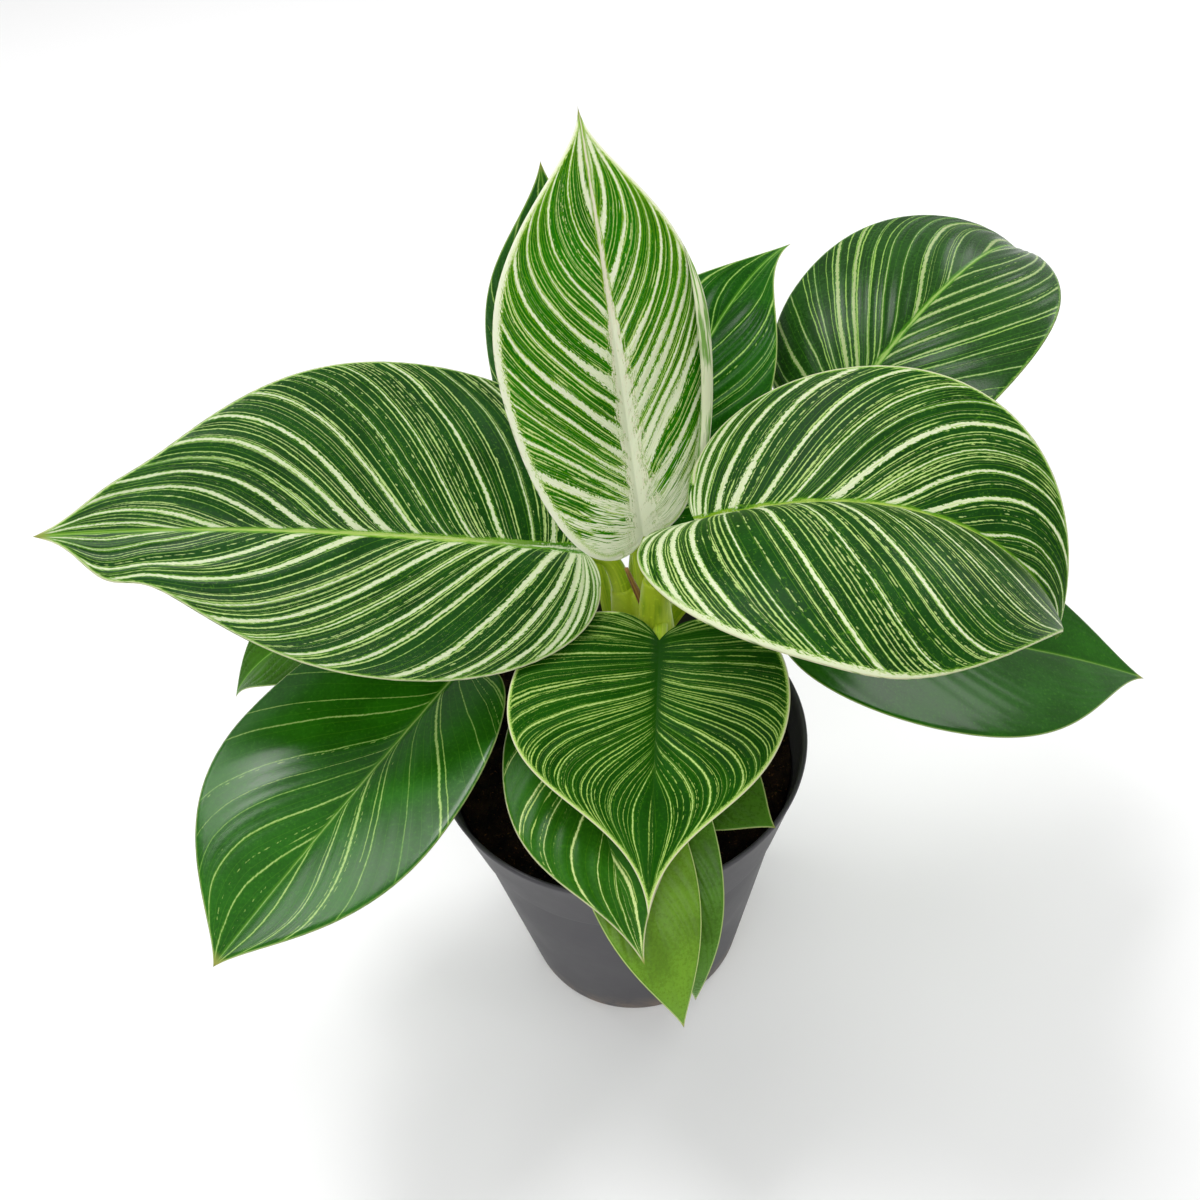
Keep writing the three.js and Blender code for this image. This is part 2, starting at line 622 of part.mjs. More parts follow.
let stem = toSolid(stemGeometry(0));
let soil = toSolid(soilGeometry()).subtract(toSolid(stemGeometry(FIT_GAP)));
const cataphyll = (grow) => {
  const radii = CATAPHYLL.radii.map((radius) => radius + grow);
  return stalk(CATAPHYLL.line.map(vector), radii, PETIOLE.sides);
};
const rooms = [toSolid(cataphyll(FIT_GAP))];

for (const leaf of LEAVES) {
  const midrib = midribOf(leaf);
  const blade = toSolid(bladeGeometry(leaf, midrib));
  add(leaf.name, blade.add(toSolid(stubGeometry(leaf, midrib))), leaf.finish);
  add(leaf.name.replace('leaf', 'petiole'), toSolid(petioleGeometry(leaf, midrib, 0)), 'petiole');
  rooms.push(toSolid(petioleGeometry(leaf, midrib, FIT_GAP)));
  if (!leaf.stalk.soil) stem = stem.add(toSolid(sheathGeometry(leaf, midrib)));
}
for (const room of rooms) {
  stem = stem.subtract(room);
  soil = soil.subtract(room);
}

add('cataphyll', toSolid(cataphyll(0)), 'cataphyll');
add('stem', stem, 'stem');
add('soil', soil, 'soil');
add('pot', potSolid(), 'pot');

export default plant;
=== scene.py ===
"""Philodendron birkin in a 12 cm nursery pot: the finished pieces, their materials, the light and the camera.

Sizes are in millimetres and angles in degrees, and MM turns the sizes into metres.
+Z is up and +Y points to the back of the plant. A blade's halves are the left one (side 1) and the right one (-1),
seen from its base with the upper face up.
"""

import math

import bmesh
import bpy
import numpy as np
from mathutils import Matrix, Vector


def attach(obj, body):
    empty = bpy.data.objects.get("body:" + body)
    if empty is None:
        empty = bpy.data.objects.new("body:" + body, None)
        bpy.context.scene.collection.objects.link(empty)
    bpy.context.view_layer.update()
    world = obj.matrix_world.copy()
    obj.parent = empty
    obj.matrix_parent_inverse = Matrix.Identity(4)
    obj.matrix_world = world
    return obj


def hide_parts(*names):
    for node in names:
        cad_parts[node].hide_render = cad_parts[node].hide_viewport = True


MM = 0.001
SEED = 7

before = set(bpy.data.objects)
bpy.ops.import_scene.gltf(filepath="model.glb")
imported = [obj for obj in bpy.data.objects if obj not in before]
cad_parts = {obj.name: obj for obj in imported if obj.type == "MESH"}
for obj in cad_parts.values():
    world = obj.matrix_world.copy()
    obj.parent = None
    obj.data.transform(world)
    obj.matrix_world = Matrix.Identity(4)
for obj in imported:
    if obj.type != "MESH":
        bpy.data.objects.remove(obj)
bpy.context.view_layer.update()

# ---------------------------------------------------------------- driving dimensions

POT = dict(height=118, rim=60, collar_depth=29, collar=54, step=0.8, base=40, wall=1.4, floor=1.6,
           holes=6, hole_radius=4, hole_ring=28)
COLLAR_FOOT = POT["height"] - POT["collar_depth"]
SOIL_LEVEL = 106
STEM = dict(foot=(8, 9, 82), top=(11, 15, 138), foot_radius=8, top_radius=6)
CATAPHYLL = [(13, 14, 136), (13, 16, 148), (9, 16, 164), (6, 16, 175)]
CATAPHYLL_RADII = (0.8, 1.0, 1.1, 0.6)
GAP = 0.3

# The outline and its veins: how far a vein of the lobes bows, the share of the outline behind the widest place,
# the inner end of a lobe's back edge in half widths, and the share of further veins that end in the tip.
BOW = 0.26
LOBE_SHARE = 0.36
INNER_LOBE = 0.3
TIP_FAN = 0.2

# The petioles: the height where those in the soil start, the length of the stub behind the blade, how many radii
# it hangs below the midrib, and the length of the neck.
ROOT_HEIGHT = 94
STUB = 3.5
HANG = 1.3
NECK = 3
# On under the blade, in radii of the petiole's tip: how far from the base, how far below the midrib, and radius.
KEEL = [(2, 0.95, 0.8), (4.5, 0.5, 0.35)]
# The curve's points, the one where a petiole leaves its sheath, and how many the sheath covers.
CURVE_POINTS, BARE_FROM, SHEATHED = 41, 18, 27
SHEATH_RADIUS = 6.5
SHEATH_LIP = 0.4
SHEATH_TAPER = 2.2

LEAVES = [
    dict(name='leaf_01', base=(12, 25, 179), heading=107, rise=76, arch=18,
         late=1.5, swing=-8, roll=16, twist=-7, length=122, width=66,
         skew=0.18, fold=(21, 5), curl=(-18, 11), lobe=(0, 0),
         widest=0.51, point=0.15, drip=(0.97, 0.1),
         node=130, turn=-15, lean=75, pull=0.3, radius=(4.6, 2.6)),
    dict(name='leaf_02', base=(-7, 26, 175), heading=187, rise=19, arch=18,
         late=1.6, swing=-6, roll=-22, twist=-8, length=156, width=102,
         skew=-0.14, fold=(10, 12), curl=(-27, -21), lobe=(0.03, 0.08),
         widest=0.31, point=0.41, drip=(0.1, 0.04), swell=(0.038, 0.012),
         node=124, lean=65, pull=0.22, radius=(4.6, 2.6)),
    dict(name='leaf_03', base=(26, 8, 199), heading=-11, rise=22, arch=103,
         late=1.7, swing=-14, roll=-4, twist=17, length=122, width=107,
         skew=-0.23, fold=(23, 41), curl=(0, -57), lobe=(0, 0.08),
         widest=0.4, point=0.41, drip=(0.1, 0.04),
         node=126, lean=75, pull=0.2, radius=(4.6, 2.6)),
    dict(name='leaf_04', base=(14, 0, 160), heading=263, rise=-8, arch=32,
         late=1.4, swing=-2, roll=1, twist=3, length=83, width=83,
         skew=-0.03, fold=(13, 12), curl=(16, 0), lobe=(0.06, 0.1),
         widest=0.3, point=0.85, drip=(0.4, 0.06),
         node=122, lean=60, pull=0.35, radius=(3.2, 2.2)),
    dict(name='leaf_05', base=(-10, -5, 139), heading=271, rise=-3, arch=23,
         late=1.4, swing=15, roll=2, twist=2, length=82, width=55,
         skew=0.02, fold=(12, 12), curl=(-15, -15), lobe=(0.12, 0.12),
         widest=0.32, point=0.51, drip=(0.1, 0.1),
         soil=(-9, -5), lean=70, pull=0.25, radius=(2.8, 1.8)),
    dict(name='leaf_06', base=(-47, 8, 146), heading=230, rise=-8, arch=1,
         late=1.4, swing=3, roll=-5, twist=-4, length=111, width=78,
         skew=-0.13, fold=(19, 16), curl=(-12, -22), lobe=(0.03, 0.11),
         widest=0.45, point=0.06, drip=(0.41, 0.07),
         soil=(-5, 3), lean=88, pull=0.5, radius=(3.2, 2.2)),
    dict(name='leaf_07', base=(-67, 33, 148), heading=189, rise=5, arch=67,
         late=1.4, swing=1, roll=-7, twist=-5, length=70, width=37,
         skew=0, fold=(12, 13), curl=(-15, -13), lobe=(0.12, 0.12),
         widest=0.35, point=0.35, drip=(0.4, 0.06),
         soil=(-5, 13), lean=70, pull=0.25, radius=(2.8, 1.8)),
    dict(name='leaf_08', base=(53, 14, 149), heading=-1, rise=-12, arch=19,
         late=1.3, swing=3, roll=3, twist=9, length=135, width=78,
         skew=-0.03, fold=(13, 14), curl=(-12, -15), lobe=(0.12, 0.01),
         widest=0.38, point=0.29, drip=(0.41, 0.06),
         soil=(22, 11), lean=70, pull=0.25, radius=(3.2, 2)),
    dict(name='leaf_09', base=(73, 48, 198), heading=34, rise=44, arch=96,
         late=1.2, swing=20, roll=1, twist=15, length=124, width=80,
         skew=0.04, fold=(10, 10), curl=(-29, -6), lobe=(0.05, 0.12),
         widest=0.25, point=0.49, drip=(0.4, 0.06),
         soil=(11, 31), lean=88, pull=0.5, radius=(3.2, 2.2)),
    dict(name='leaf_10', base=(13, 43, 172), heading=54, rise=56, arch=66,
         late=1.5, swing=-6, roll=2, twist=1, length=107, width=59,
         skew=0.03, fold=(13, 12), curl=(-14, -15), lobe=(0.12, 0.12),
         widest=0.32, point=0.61, drip=(0.4, 0.06),
         node=120, lean=60, pull=0.35, radius=(3.2, 2)),
    dict(name='leaf_11', base=(-6, 75, 163), heading=95, rise=64, arch=-14,
         late=1.4, swing=2, roll=-29, twist=10, length=101, width=57,
         skew=0.03, fold=(9, 9), curl=(-29, -24), lobe=(0.12, 0.12),
         widest=0.36, point=0.32, drip=(0.33, 0.06),
         soil=(5, 23), lean=70, pull=0.25, radius=(3.2, 2)),
    dict(name='leaf_12', base=(-5, -24, 134), heading=282, rise=-7, arch=66,
         late=1.6, swing=5, roll=0, twist=0, length=84, width=33,
         skew=-0.05, fold=(12, 12), curl=(-16, -15), lobe=(0.03, 0.03),
         widest=0.35, point=0.26, drip=(0.36, 0.06),
         soil=(3, -4), lean=70, pull=0.25, radius=(2.2, 1.4)),
    dict(name='leaf_13', base=(10, -22, 132), heading=277, rise=-7, arch=94,
         late=1.6, swing=-2, roll=2, twist=1, length=84, width=25,
         skew=0, fold=(12, 11), curl=(-15, -16), lobe=(0.03, 0.03),
         widest=0.36, point=0.45, drip=(0.39, 0.06),
         soil=(15, -3), lean=88, pull=0.5, radius=(2.2, 1.4)),
    dict(name='leaf_14', base=(14, -11, 119), heading=-51, rise=7, arch=4,
         late=1.4, swing=4, roll=8, twist=6, length=45, width=32,
         skew=-0.04, fold=(12, 10), curl=(-15, -18), lobe=(0.03, 0.03),
         widest=0.35, point=0.22, drip=(0.37, 0.06),
         soil=(13, -8), lean=70, pull=0.25, radius=(2.2, 1.4)),
]

# How the side veins run.
#   last: the place on the midrib where the vein that ends in the tip starts.
#   power: how the others are spread before it, in the left and the right half.
#   follow: how far the fan of the tip follows the midrib.
#   lag: the share of a vein that hugs the midrib.
#   bowl: how far a vein bulges outward, at the back and at the front of the blade.
#   fan: from where to where along the blade the veins turn from the fan of the base to the swept kind.
SWEPT = dict(last=0.60, power=(3.0, 1.5), follow=0.5, lag=0.13, bowl=(1.5, 0.9), fan=(0.2, 0.5))
BENT_SWEPT = dict(last=0.60, power=(1.9, 2.2), follow=0.5, lag=0.15, bowl=(1.6, 1.1), fan=(0.2, 0.55))
YOUNG_SWEPT = dict(last=0.55, power=(1.95, 1.95), follow=0.7, lag=0.10, bowl=(1.05, 1.4), fan=(0.1, 0.4))
HEART_SWEPT = dict(last=0.43, power=(1.15, 1.15), follow=0.25, lag=0.20, bowl=(1.9, 1.5), fan=(-0.1, 0.25))
BACK_SWEPT = dict(last=0.50, power=(3.2, 2.3), follow=0.5, lag=0.14, bowl=(1.05, 0.9), fan=(0.0, 0.25))
NARROW_SWEPT = dict(last=0.46, power=(2.3, 2.3), follow=0.5, lag=0.22, bowl=(1.1, 0.9), fan=(0.0, 0.3))
LOOSE_SWEPT = dict(last=0.50, power=(2.0, 2.0), follow=0.5, lag=0.16, bowl=(1.4, 1.1), fan=(0.2, 0.55))

# How each blade is coloured. Sizes are in mm. Places run from 0 at the blade's base to 1 at its tip.
#   dark, halo, cream, line: the ground, the seam beside a line, the broad lines and the thin ones.
#   under, back, hem: the underside, its streaks (halo where it isn't given) and the very edge.
#   gloss, shine, calm: roughness, specular level, and the share of the relief that is left.
#   sweep: how the side veins run.
#   broad: the broad lines of the left and the right half, as places along the outline, from 0 at the
#       back of the lobe to 1 at the tip, and on into the fan of the tip.
#   width, root, seam: half width of a broad line, its factor at the midrib, and the width of its seam.
#   base: how much the broad lines widen towards the base, and up to where.
#   thin_lines, fine: how many thin lines go with a broad one, and their half width, first and last.
#   missing, thinned, broken: the share of them that isn't there, the further share that is gone at
#       the tip, and how often one breaks.
#   dashes: half width of the short dashes, and the share of them that isn't there.
#   patches: up to where patches of cream cover the base.
#   clear, shade: half width of the plain band along the midrib, and how dark the painted shade at the base is.
#   rim, band: width of the pale margin, and a broader stretch of it as (half, from, to, width).
#   rib, vein, heart: half width of the pale midrib as (place, half width) stops, its colour (line
#       where it isn't given), and its colour at the base.
#   feather: how far the midrib frays out at the base, and up to where.
COMMON = dict(seam=0.26, fine=(0.20, 0.09), thinned=0.3, broken=0.5, calm=1.0)
YOUNG = dict(
    COMMON, dark=(0.012, 0.145, 0.0002), halo=(0.20, 0.41, 0.006), cream=(0.80, 0.84, 0.62),
    line=(0.60, 0.72, 0.28), under=(0.72, 0.76, 0.52), hem=(0.82, 0.84, 0.66), gloss=0.5, shine=0.06,
    sweep=YOUNG_SWEPT, root=2.0, fine=(0.26, 0.14), dashes=(0.22, 0.35), seam=0.30,
)
STRIPED = dict(
    COMMON, dark=(0.006, 0.049, 0.0026), halo=(0.10, 0.27, 0.008), cream=(0.58, 0.64, 0.42),
    line=(0.42, 0.56, 0.19), under=(0.12, 0.22, 0.06), hem=(0.56, 0.58, 0.36), gloss=0.34, shine=0.13,
    sweep=SWEPT, root=1.35, broken=0.70, fine=(0.24, 0.12), dashes=(0.22, 0.38), rim=0.7,
)
FRONT = dict(
    COMMON, dark=(0.0066, 0.060, 0.0004), halo=(0.055, 0.18, 0.004), cream=(0.50, 0.66, 0.20),
    line=(0.37, 0.54, 0.11), under=(0.11, 0.22, 0.04), hem=(0.60, 0.60, 0.38), gloss=0.42, shine=0.05,
    sweep=HEART_SWEPT, root=0.4, thin_lines=3,
)
PLAIN = dict(
    COMMON, dark=(0.014, 0.092, 0.002), halo=(0.05, 0.19, 0.006), cream=(0.34, 0.50, 0.14),
    line=(0.26, 0.42, 0.09), under=(0.10, 0.22, 0.03), hem=(0.28, 0.36, 0.12), gloss=0.27, shine=0.20,
    sweep=LOOSE_SWEPT, root=0.6, rim=0.4,
)
EVEN = [round(0.06 + 0.08 * i, 2) for i in range(14)]
SMALL = dict(PLAIN, shine=0.15, broad=(EVEN, EVEN))
THIN_RIB = [(0.0, 0.3), (1.0, 0.1)]
LOOKS = {
    "leaf_01": dict(
        YOUNG, thin_lines=5, missing=0.10, width=0.44, rim=1.0, band=(1, 0.0, 0.8, 2.2), broken=0.75,
        rib=[(0.0, 6.5), (0.2, 3.6), (0.47, 2.6), (0.60, 0.9), (0.8, 0.5), (1.0, 0.25)],
        feather=(8.0, 0.6), vein=(0.78, 0.74, 0.56), base=(2.0, 0.58), patches=0.30,
        back=(0.10, 0.30, 0.004),
        broad=([0.02, 0.05, 0.08, 0.11, 0.145, 0.18, 0.225, 0.27, 0.31, 0.345,
                0.41, 0.505, 0.61, 0.69, 0.80, 0.895, 0.98, 1.06, 1.13],
               [0.02, 0.05, 0.08, 0.12, 0.16, 0.20, 0.24, 0.28, 0.345, 0.40,
                0.46, 0.53, 0.60, 0.68, 0.77, 0.87, 0.96, 1.03, 1.10, 1.16]),
    ),
    "leaf_02": dict(
        STRIPED, thin_lines=4, missing=0.12, width=0.46, base=(0.25, 0.2),
        vein=(0.34, 0.48, 0.10), heart=(0.04, 0.17, 0.003),
        rib=[(0.0, 1.4), (0.12, 0.9), (0.6, 0.4), (0.85, 0.1)],
        broad=([0.03, 0.08, 0.12, 0.18, 0.215, 0.275, 0.34, 0.41, 0.505,
                0.56, 0.635, 0.70, 0.76, 0.88, 0.95, 1.06, 1.13],
               [0.06, 0.14, 0.22, 0.30, 0.35, 0.415, 0.485, 0.55,
                0.625, 0.70, 0.77, 0.83, 0.885, 0.95, 1.05, 1.12]),
    ),
    "leaf_03": dict(
        STRIPED, cream=(0.64, 0.69, 0.46), line=(0.42, 0.56, 0.18), thin_lines=5, missing=0.22,
        width=0.48, thinned=0.6, base=(0.3, 0.25), band=(-1, 0.0, 0.62, 1.9), shine=0.08, gloss=0.42,
        calm=0.5, vein=(0.34, 0.48, 0.08), heart=(0.20, 0.34, 0.010), sweep=BENT_SWEPT,
        rib=[(0.0, 1.5), (0.2, 0.9), (0.6, 0.4), (0.8, 0.1)],
        broad=([0.05, 0.11, 0.16, 0.20, 0.245, 0.295, 0.335, 0.405,
                0.49, 0.545, 0.625, 0.72, 0.80, 0.90, 1.02, 1.12],
               [0.05, 0.12, 0.19, 0.24, 0.29, 0.345, 0.43,
                0.535, 0.65, 0.735, 0.84, 0.94, 1.05, 1.13]),
    ),
    # The base of leaf_04 gets painted shade (shade) for the shadow of the leaves above it.
    "leaf_04": dict(
        FRONT, missing=0.42, width=0.24, rim=1.0, fine=(0.17, 0.14), clear=2.4, shade=0.38,
        broad=([0.05, 0.11, 0.17, 0.22, 0.27, 0.32, 0.37, 0.43,
                0.49, 0.56, 0.63, 0.71, 0.79, 0.87, 0.95, 1.05],
               [0.05, 0.12, 0.18, 0.23, 0.28, 0.33, 0.38, 0.44,
                0.50, 0.57, 0.65, 0.73, 0.80, 0.88, 0.96, 1.06]),
    ),
    "leaf_05": dict(
        FRONT, dark=(0.018, 0.105, 0.003), cream=(0.60, 0.72, 0.28), line=(0.44, 0.60, 0.15),
        hem=(0.46, 0.46, 0.28), missing=0.75, width=0.46, rim=0.5, gloss=0.32, shine=0.12,
        sweep=LOOSE_SWEPT,
        broad=([0.12, 0.36, 0.50, 0.66, 0.86, 1.08], [0.12, 0.34, 0.50, 0.66, 0.84, 1.0, 1.12]),
    ),
    "leaf_06": dict(
        PLAIN, dark=(0.012, 0.098, 0.001), thin_lines=3, missing=0.92, width=0.30,
        rib=[(0.0, 0.35), (1.0, 0.1)], gloss=0.22, shine=0.26, calm=0.12, sweep=NARROW_SWEPT,
        broad=([0.06, 0.15, 0.25, 0.36, 0.50, 0.66, 0.82, 0.98, 1.10],
               [0.06, 0.16, 0.30, 0.44, 0.60, 0.78, 0.94, 1.08]),
    ),
    "leaf_07": dict(SMALL, dark=(0.030, 0.105, 0.003), rim=0.3, rib=THIN_RIB, shine=0.12),
    "leaf_08": dict(
        SMALL, dark=(0.013, 0.094, 0.001), rim=0.3, rib=THIN_RIB, gloss=0.19, shine=0.18, calm=0.2,
    ),
    "leaf_09": dict(
        PLAIN, dark=(0.012, 0.055, 0.0055), cream=(0.34, 0.42, 0.18), thin_lines=3, missing=0.75,
        width=0.42, rim=0.6, rib=[(0.0, 1.2), (0.25, 0.5), (1.0, 0.1)], shine=0.13,
        sweep=BACK_SWEPT, root=1.0,
        broad=([0.04, 0.10, 0.16, 0.22, 0.28, 0.34, 0.41, 0.48,
                0.55, 0.62, 0.70, 0.78, 0.87, 0.96, 1.08],
               [0.05, 0.12, 0.19, 0.26, 0.33, 0.40, 0.47, 0.55,
                0.63, 0.71, 0.79, 0.87, 0.96, 1.08]),
    ),
    "leaf_10": dict(
        PLAIN, dark=(0.006, 0.064, 0.0008), thin_lines=3, missing=0.85, width=0.26, rib=THIN_RIB,
        shine=0.09, broad=(EVEN[::2], EVEN[1::2]),
    ),
    "leaf_11": dict(
        PLAIN, dark=(0.018, 0.094, 0.010), under=(0.030, 0.120, 0.018), back=(0.045, 0.150, 0.022),
        thin_lines=2, missing=0.9, width=0.26, rib=THIN_RIB, shine=0.10, broad=(EVEN[1::3], EVEN[::3]),
    ),
    "leaf_12": dict(SMALL, dark=(0.130, 0.270, 0.018), hem=(0.44, 0.54, 0.18)),
    "leaf_13": dict(SMALL, dark=(0.068, 0.180, 0.014), hem=(0.36, 0.46, 0.16)),
    "leaf_14": dict(SMALL, dark=(0.055, 0.150, 0.012), hem=(0.34, 0.40, 0.14)),
}

# The noises that run with the veins: scale across them, scale along them, detail, roughness.
NOISES = dict(
    wander=(0.9, 3.5, 2.0, 0.5),
    ragged=(14.0, 62.0, 3.0, 0.6),
    strands=(34.0, 9.0, 1.0, 0.5),
    patches=(12.0, 3.5, 2.0, 0.5),
    streaks=(1.6, 22.0, 2.0, 0.5),
    barbs=(3.0, 1.5, 2.0, 0.5),
    back=(5.0, 5.0, 3.0, 0.6),
)
# The kinds of line. broken: how often one breaks. length: how fast its gaps follow each other. turn: picks its own
# random numbers. blur, fringe: how soft the line's edge is and how wide its seam, in mm.
BROAD_LINE = dict(broken=0.25, length=2.2, turn=1.0, blur=0.16)
THIN_LINE = dict(length=3.0, turn=5.0, blur=0.10, fringe=0.12)
DASH = dict(broken=0.80, length=30.0, turn=9.0, blur=0.10, fringe=0.10)
DASH_WIDTH = 0.17
BARE_GREEN = (0.009, 0.062, 0.001)
TIP_BROWN = (0.26, 0.28, 0.06)


# ---------------------------------------------------------------- node materials


def shaded(colour, factor):
    """A darker or lighter copy of a colour."""
    return [min(1.0, c * factor) for c in colour]


class Value:
    """What a node gives. Its sums, differences and products are further nodes."""

    def __init__(self, shader, socket):
        self.shader = shader
        self.socket = socket

    def __add__(self, other):
        return self.shader.math("ADD", self, other)

    def __sub__(self, other):
        return self.shader.math("SUBTRACT", self, other)

    def __mul__(self, other):
        return self.shader.math("MULTIPLY", self, other)

    __radd__, __rmul__ = __add__, __mul__


class Shader:
    """A node material with short calls for the few kinds of node used here."""

    def __init__(self, name):
        self.material = bpy.data.materials.new(name)
        self.material.use_nodes = True
        self.tree = self.material.node_tree
        self.bsdf = self.tree.nodes["Principled BSDF"]

    def node(self, kind, inputs, **settings):
        """A new node with its inputs, by name or number, set or linked."""
        made = self.tree.nodes.new(kind)
        for key, value in settings.items():
            setattr(made, key, value)
        for key, value in inputs.items():
            self.put(made.inputs[key], value)
        return made

    def put(self, socket, value):
        if isinstance(value, Value):
            self.tree.links.new(value.socket, socket)
        else:
            socket.default_value = value

    def math(self, operation, a, b=0.0):
        return Value(self, self.node("ShaderNodeMath", {0: a, 1: b}, operation=operation).outputs[0])

    def vector(self, x, y, z=0.0):
        return Value(self, self.node("ShaderNodeCombineXYZ", {0: x, 1: y, 2: z}).outputs[0])

    def attribute(self, name):
        return Value(self, self.node("ShaderNodeAttribute", {}, attribute_name=name).outputs["Fac"])

    def position(self):
        return Value(self, self.node("ShaderNodeTexCoord", {}).outputs["Object"])

    def noise(self, vector, scale, detail=2.0, roughness=0.5, distortion=0.0):
        inputs = dict(Vector=vector, Scale=scale, Detail=detail, Roughness=roughness, Distortion=distortion)
        return Value(self, self.node("ShaderNodeTexNoise", inputs).outputs["Fac"])

    def remap(self, value, low, high, to_low=0.0, to_high=1.0):
        inputs = dict(enumerate((value, low, high, to_low, to_high)))
        return Value(self, self.node("ShaderNodeMapRange", inputs).outputs[0])

    def stops(self, value, points):
        """A line through (value, result) points, level before the first and after the last."""
        total = points[0][1]
        for (low, before), (high, after) in zip(points, points[1:]):
            total = total + self.remap(value, low, high, 0.0, after - before)
        return total

    def mix(self, factor, a, b):
        made = self.node("ShaderNodeMix", {"Factor": factor}, data_type="RGBA")
        for socket, colour in zip([i for i in made.inputs if i.type == "RGBA"], (a, b)):
            self.put(socket, colour if isinstance(colour, Value) else (*colour, 1.0))
        return Value(self, [o for o in made.outputs if o.type == "RGBA"][0])

    def bump(self, height, strength, distance):
        made = self.node("ShaderNodeBump", dict(Strength=strength, Distance=distance, Height=height))
        self.tree.links.new(made.outputs[0], self.bsdf.inputs["Normal"])

    def set(self, **values):
        for key, value in values.items():
            self.put(self.bsdf.inputs[key.replace("_", " ")], value)
        return self.material


class BladeShader(Shader):
    """The material of a blade. Its layers below take the colour under them and return the new one."""

    def __init__(self, name, look, seed):
        super().__init__(name)
        self.look = look
        for key in ATTRIBUTES:
            setattr(self, key, self.attribute(key))
        self.place = self.half * 17.0 + float(seed)
        # The lines wander a little, and their edges are ragged.
        room = self.math("MINIMUM", self.math("DIVIDE", 1.4, self.gauge), 0.45)
        self.across = self.stripe + (self.woven("wander", self.stripe, self.reach) - 0.5) * room
        self.ragged = self.woven("ragged", self.stripe, self.reach) - 0.5
        self.grain = self.noise(self.position(), 1100.0, 2.0, 0.6)
        self.cloud = self.noise(self.position(), 60.0, 2.0) + (self.grain - 0.5) * 0.7

    def woven(self, kind, across, onward):
        """A noise that runs with the veins."""
        scale_across, scale_along, detail, roughness = NOISES[kind]
        where = self.vector(across * scale_across, onward * scale_along, self.place)
        return self.noise(where, 1.0, detail, roughness)


def widening(s):
    """How the broad lines widen and narrow from the midrib to the margin and from the base to the tip."""
    from_rib = s.stops(s.reach, [(0.0, s.look["root"]), (0.35, 1.0), (1.0, 0.75)])
    total = s.remap(s.along, 0.45, 1.0, 1.0, 0.6) * from_rib
    if "base" in s.look:
        amount, until = s.look["base"]
        total = total + s.remap(s.along, 0.0, until, amount, 0.0)
        total = total + s.remap(s.rib, 1.0, 9.0, 0.35 * amount, 0.0)
    return total


def lines(s, count, half_width, missing, broken, length, turn, blur, fringe):
    """Lines along the veins, count of them to each broad one; returns the line and its seam."""
    alone = count == 1
    spot = s.across * float(count) + (0.5 if alone else 1.0)
    cell = s.math("FLOOR", spot)
    chance = s.node("ShaderNodeTexWhiteNoise", {"Vector": s.vector(cell, s.place, turn)}, noise_dimensions="3D")
    split = s.node("ShaderNodeSeparateColor", {0: Value(s, chance.outputs["Color"])})
    first, second, third = (Value(s, output) for output in split.outputs)
    middle = s.math("FRACT", spot) - 0.5
    if not alone:
        middle = middle + (second - 0.5) * 0.5
    pitch = s.math("DIVIDE", s.gauge, float(count))
    distance = s.math("ABSOLUTE", middle) * pitch
    gap = s.noise(s.vector(cell * 7.31, s.reach * length, s.place), 1.0, 2.0, 0.6) - third * broken
    width = half_width * s.remap(third, 0.0, 1.0, 0.35, 1.6) * s.remap(gap, 0.0, 0.12)
    if alone:
        width = s.math("MINIMUM", width * widening(s), pitch * s.remap(s.rib, 1.0, 7.0, 0.52, 0.40))
    else:
        width = width * s.math("GREATER_THAN", first, missing) * s.remap(pitch, 0.25, 0.8)
    inside = width + s.ragged * width * 2.6 - distance
    return s.remap(inside, 0.0, blur), s.remap(inside, -fringe, 0.0)


def ground(s):
    """The green of the blade, with its grain."""
    dark = s.look["dark"]
    colour = s.mix(s.remap(s.cloud, 0.3, 0.7), shaded(dark, 0.8), shaded(dark, 1.3))
    return s.mix(s.remap(s.grain, 0.60, 0.72, 0.0, 0.35), colour, s.look["halo"])


def thin_lines(s, colour):
    look = s.look
    count, missing = look["thin_lines"], look["missing"]
    at_rib = s.remap(s.reach, 0.0, 0.25, min(look["root"], 1.0), 1.0)
    gone = missing + s.remap(s.along, 0.6, 0.95, 0.0, look["thinned"])
    half_width = s.remap(s.along, 0.45, 0.85, *look["fine"]) * at_rib
    thin, seam = lines(s, count, half_width, gone, look["broken"], **THIN_LINE)
    dash_width, dash_missing = look.get("dashes", (DASH_WIDTH, 0.4 + missing * 0.5))
    dash, _ = lines(s, 2 * count + 1, dash_width, dash_missing, **DASH)
    colour = s.mix(seam * 0.6, colour, look["halo"])
    return s.mix(s.math("MAXIMUM", thin, dash * 0.85), colour, look["line"])


def broad_lines(s, colour):
    broad, seam = lines(s, 1, s.look["width"], 0.0, fringe=s.look["seam"], **BROAD_LINE)
    colour = s.mix(seam * 0.85, colour, s.look["halo"])
    strands = s.remap(s.woven("strands", s.across, s.reach), 0.54, 0.66, 0.0, 0.85)
    return s.mix(broad, colour, s.mix(strands, s.look["cream"], s.look["line"]))


def cream_patches(s, colour):
    start = s.remap(s.along, 0.0, s.look["patches"], 0.36, 0.72)
    cover = s.woven("patches", s.across, s.reach) - start
    colour = s.mix(s.remap(cover, -0.03, 0.0), colour, s.look["halo"])
    return s.mix(s.remap(cover, 0.0, 0.05), colour, s.look["cream"])


def bare_band(s, colour):
    """A plain green band along the midrib."""
    bare = s.remap(s.along, 0.0, 0.6, s.look["clear"], 0.0) - (s.rib + s.ragged * 4.0)
    return s.mix(s.remap(bare, -1.2, 0.9), colour, BARE_GREEN)


# Painted shade: the base of the blade is darkened where the leaves above it cast their shadow.
def painted_shade_at_base(s, colour):
    return s.mix(s.remap(s.along, 0.0, 0.5, s.look["shade"], 0.0), colour, shaded(s.look["dark"], 0.6))


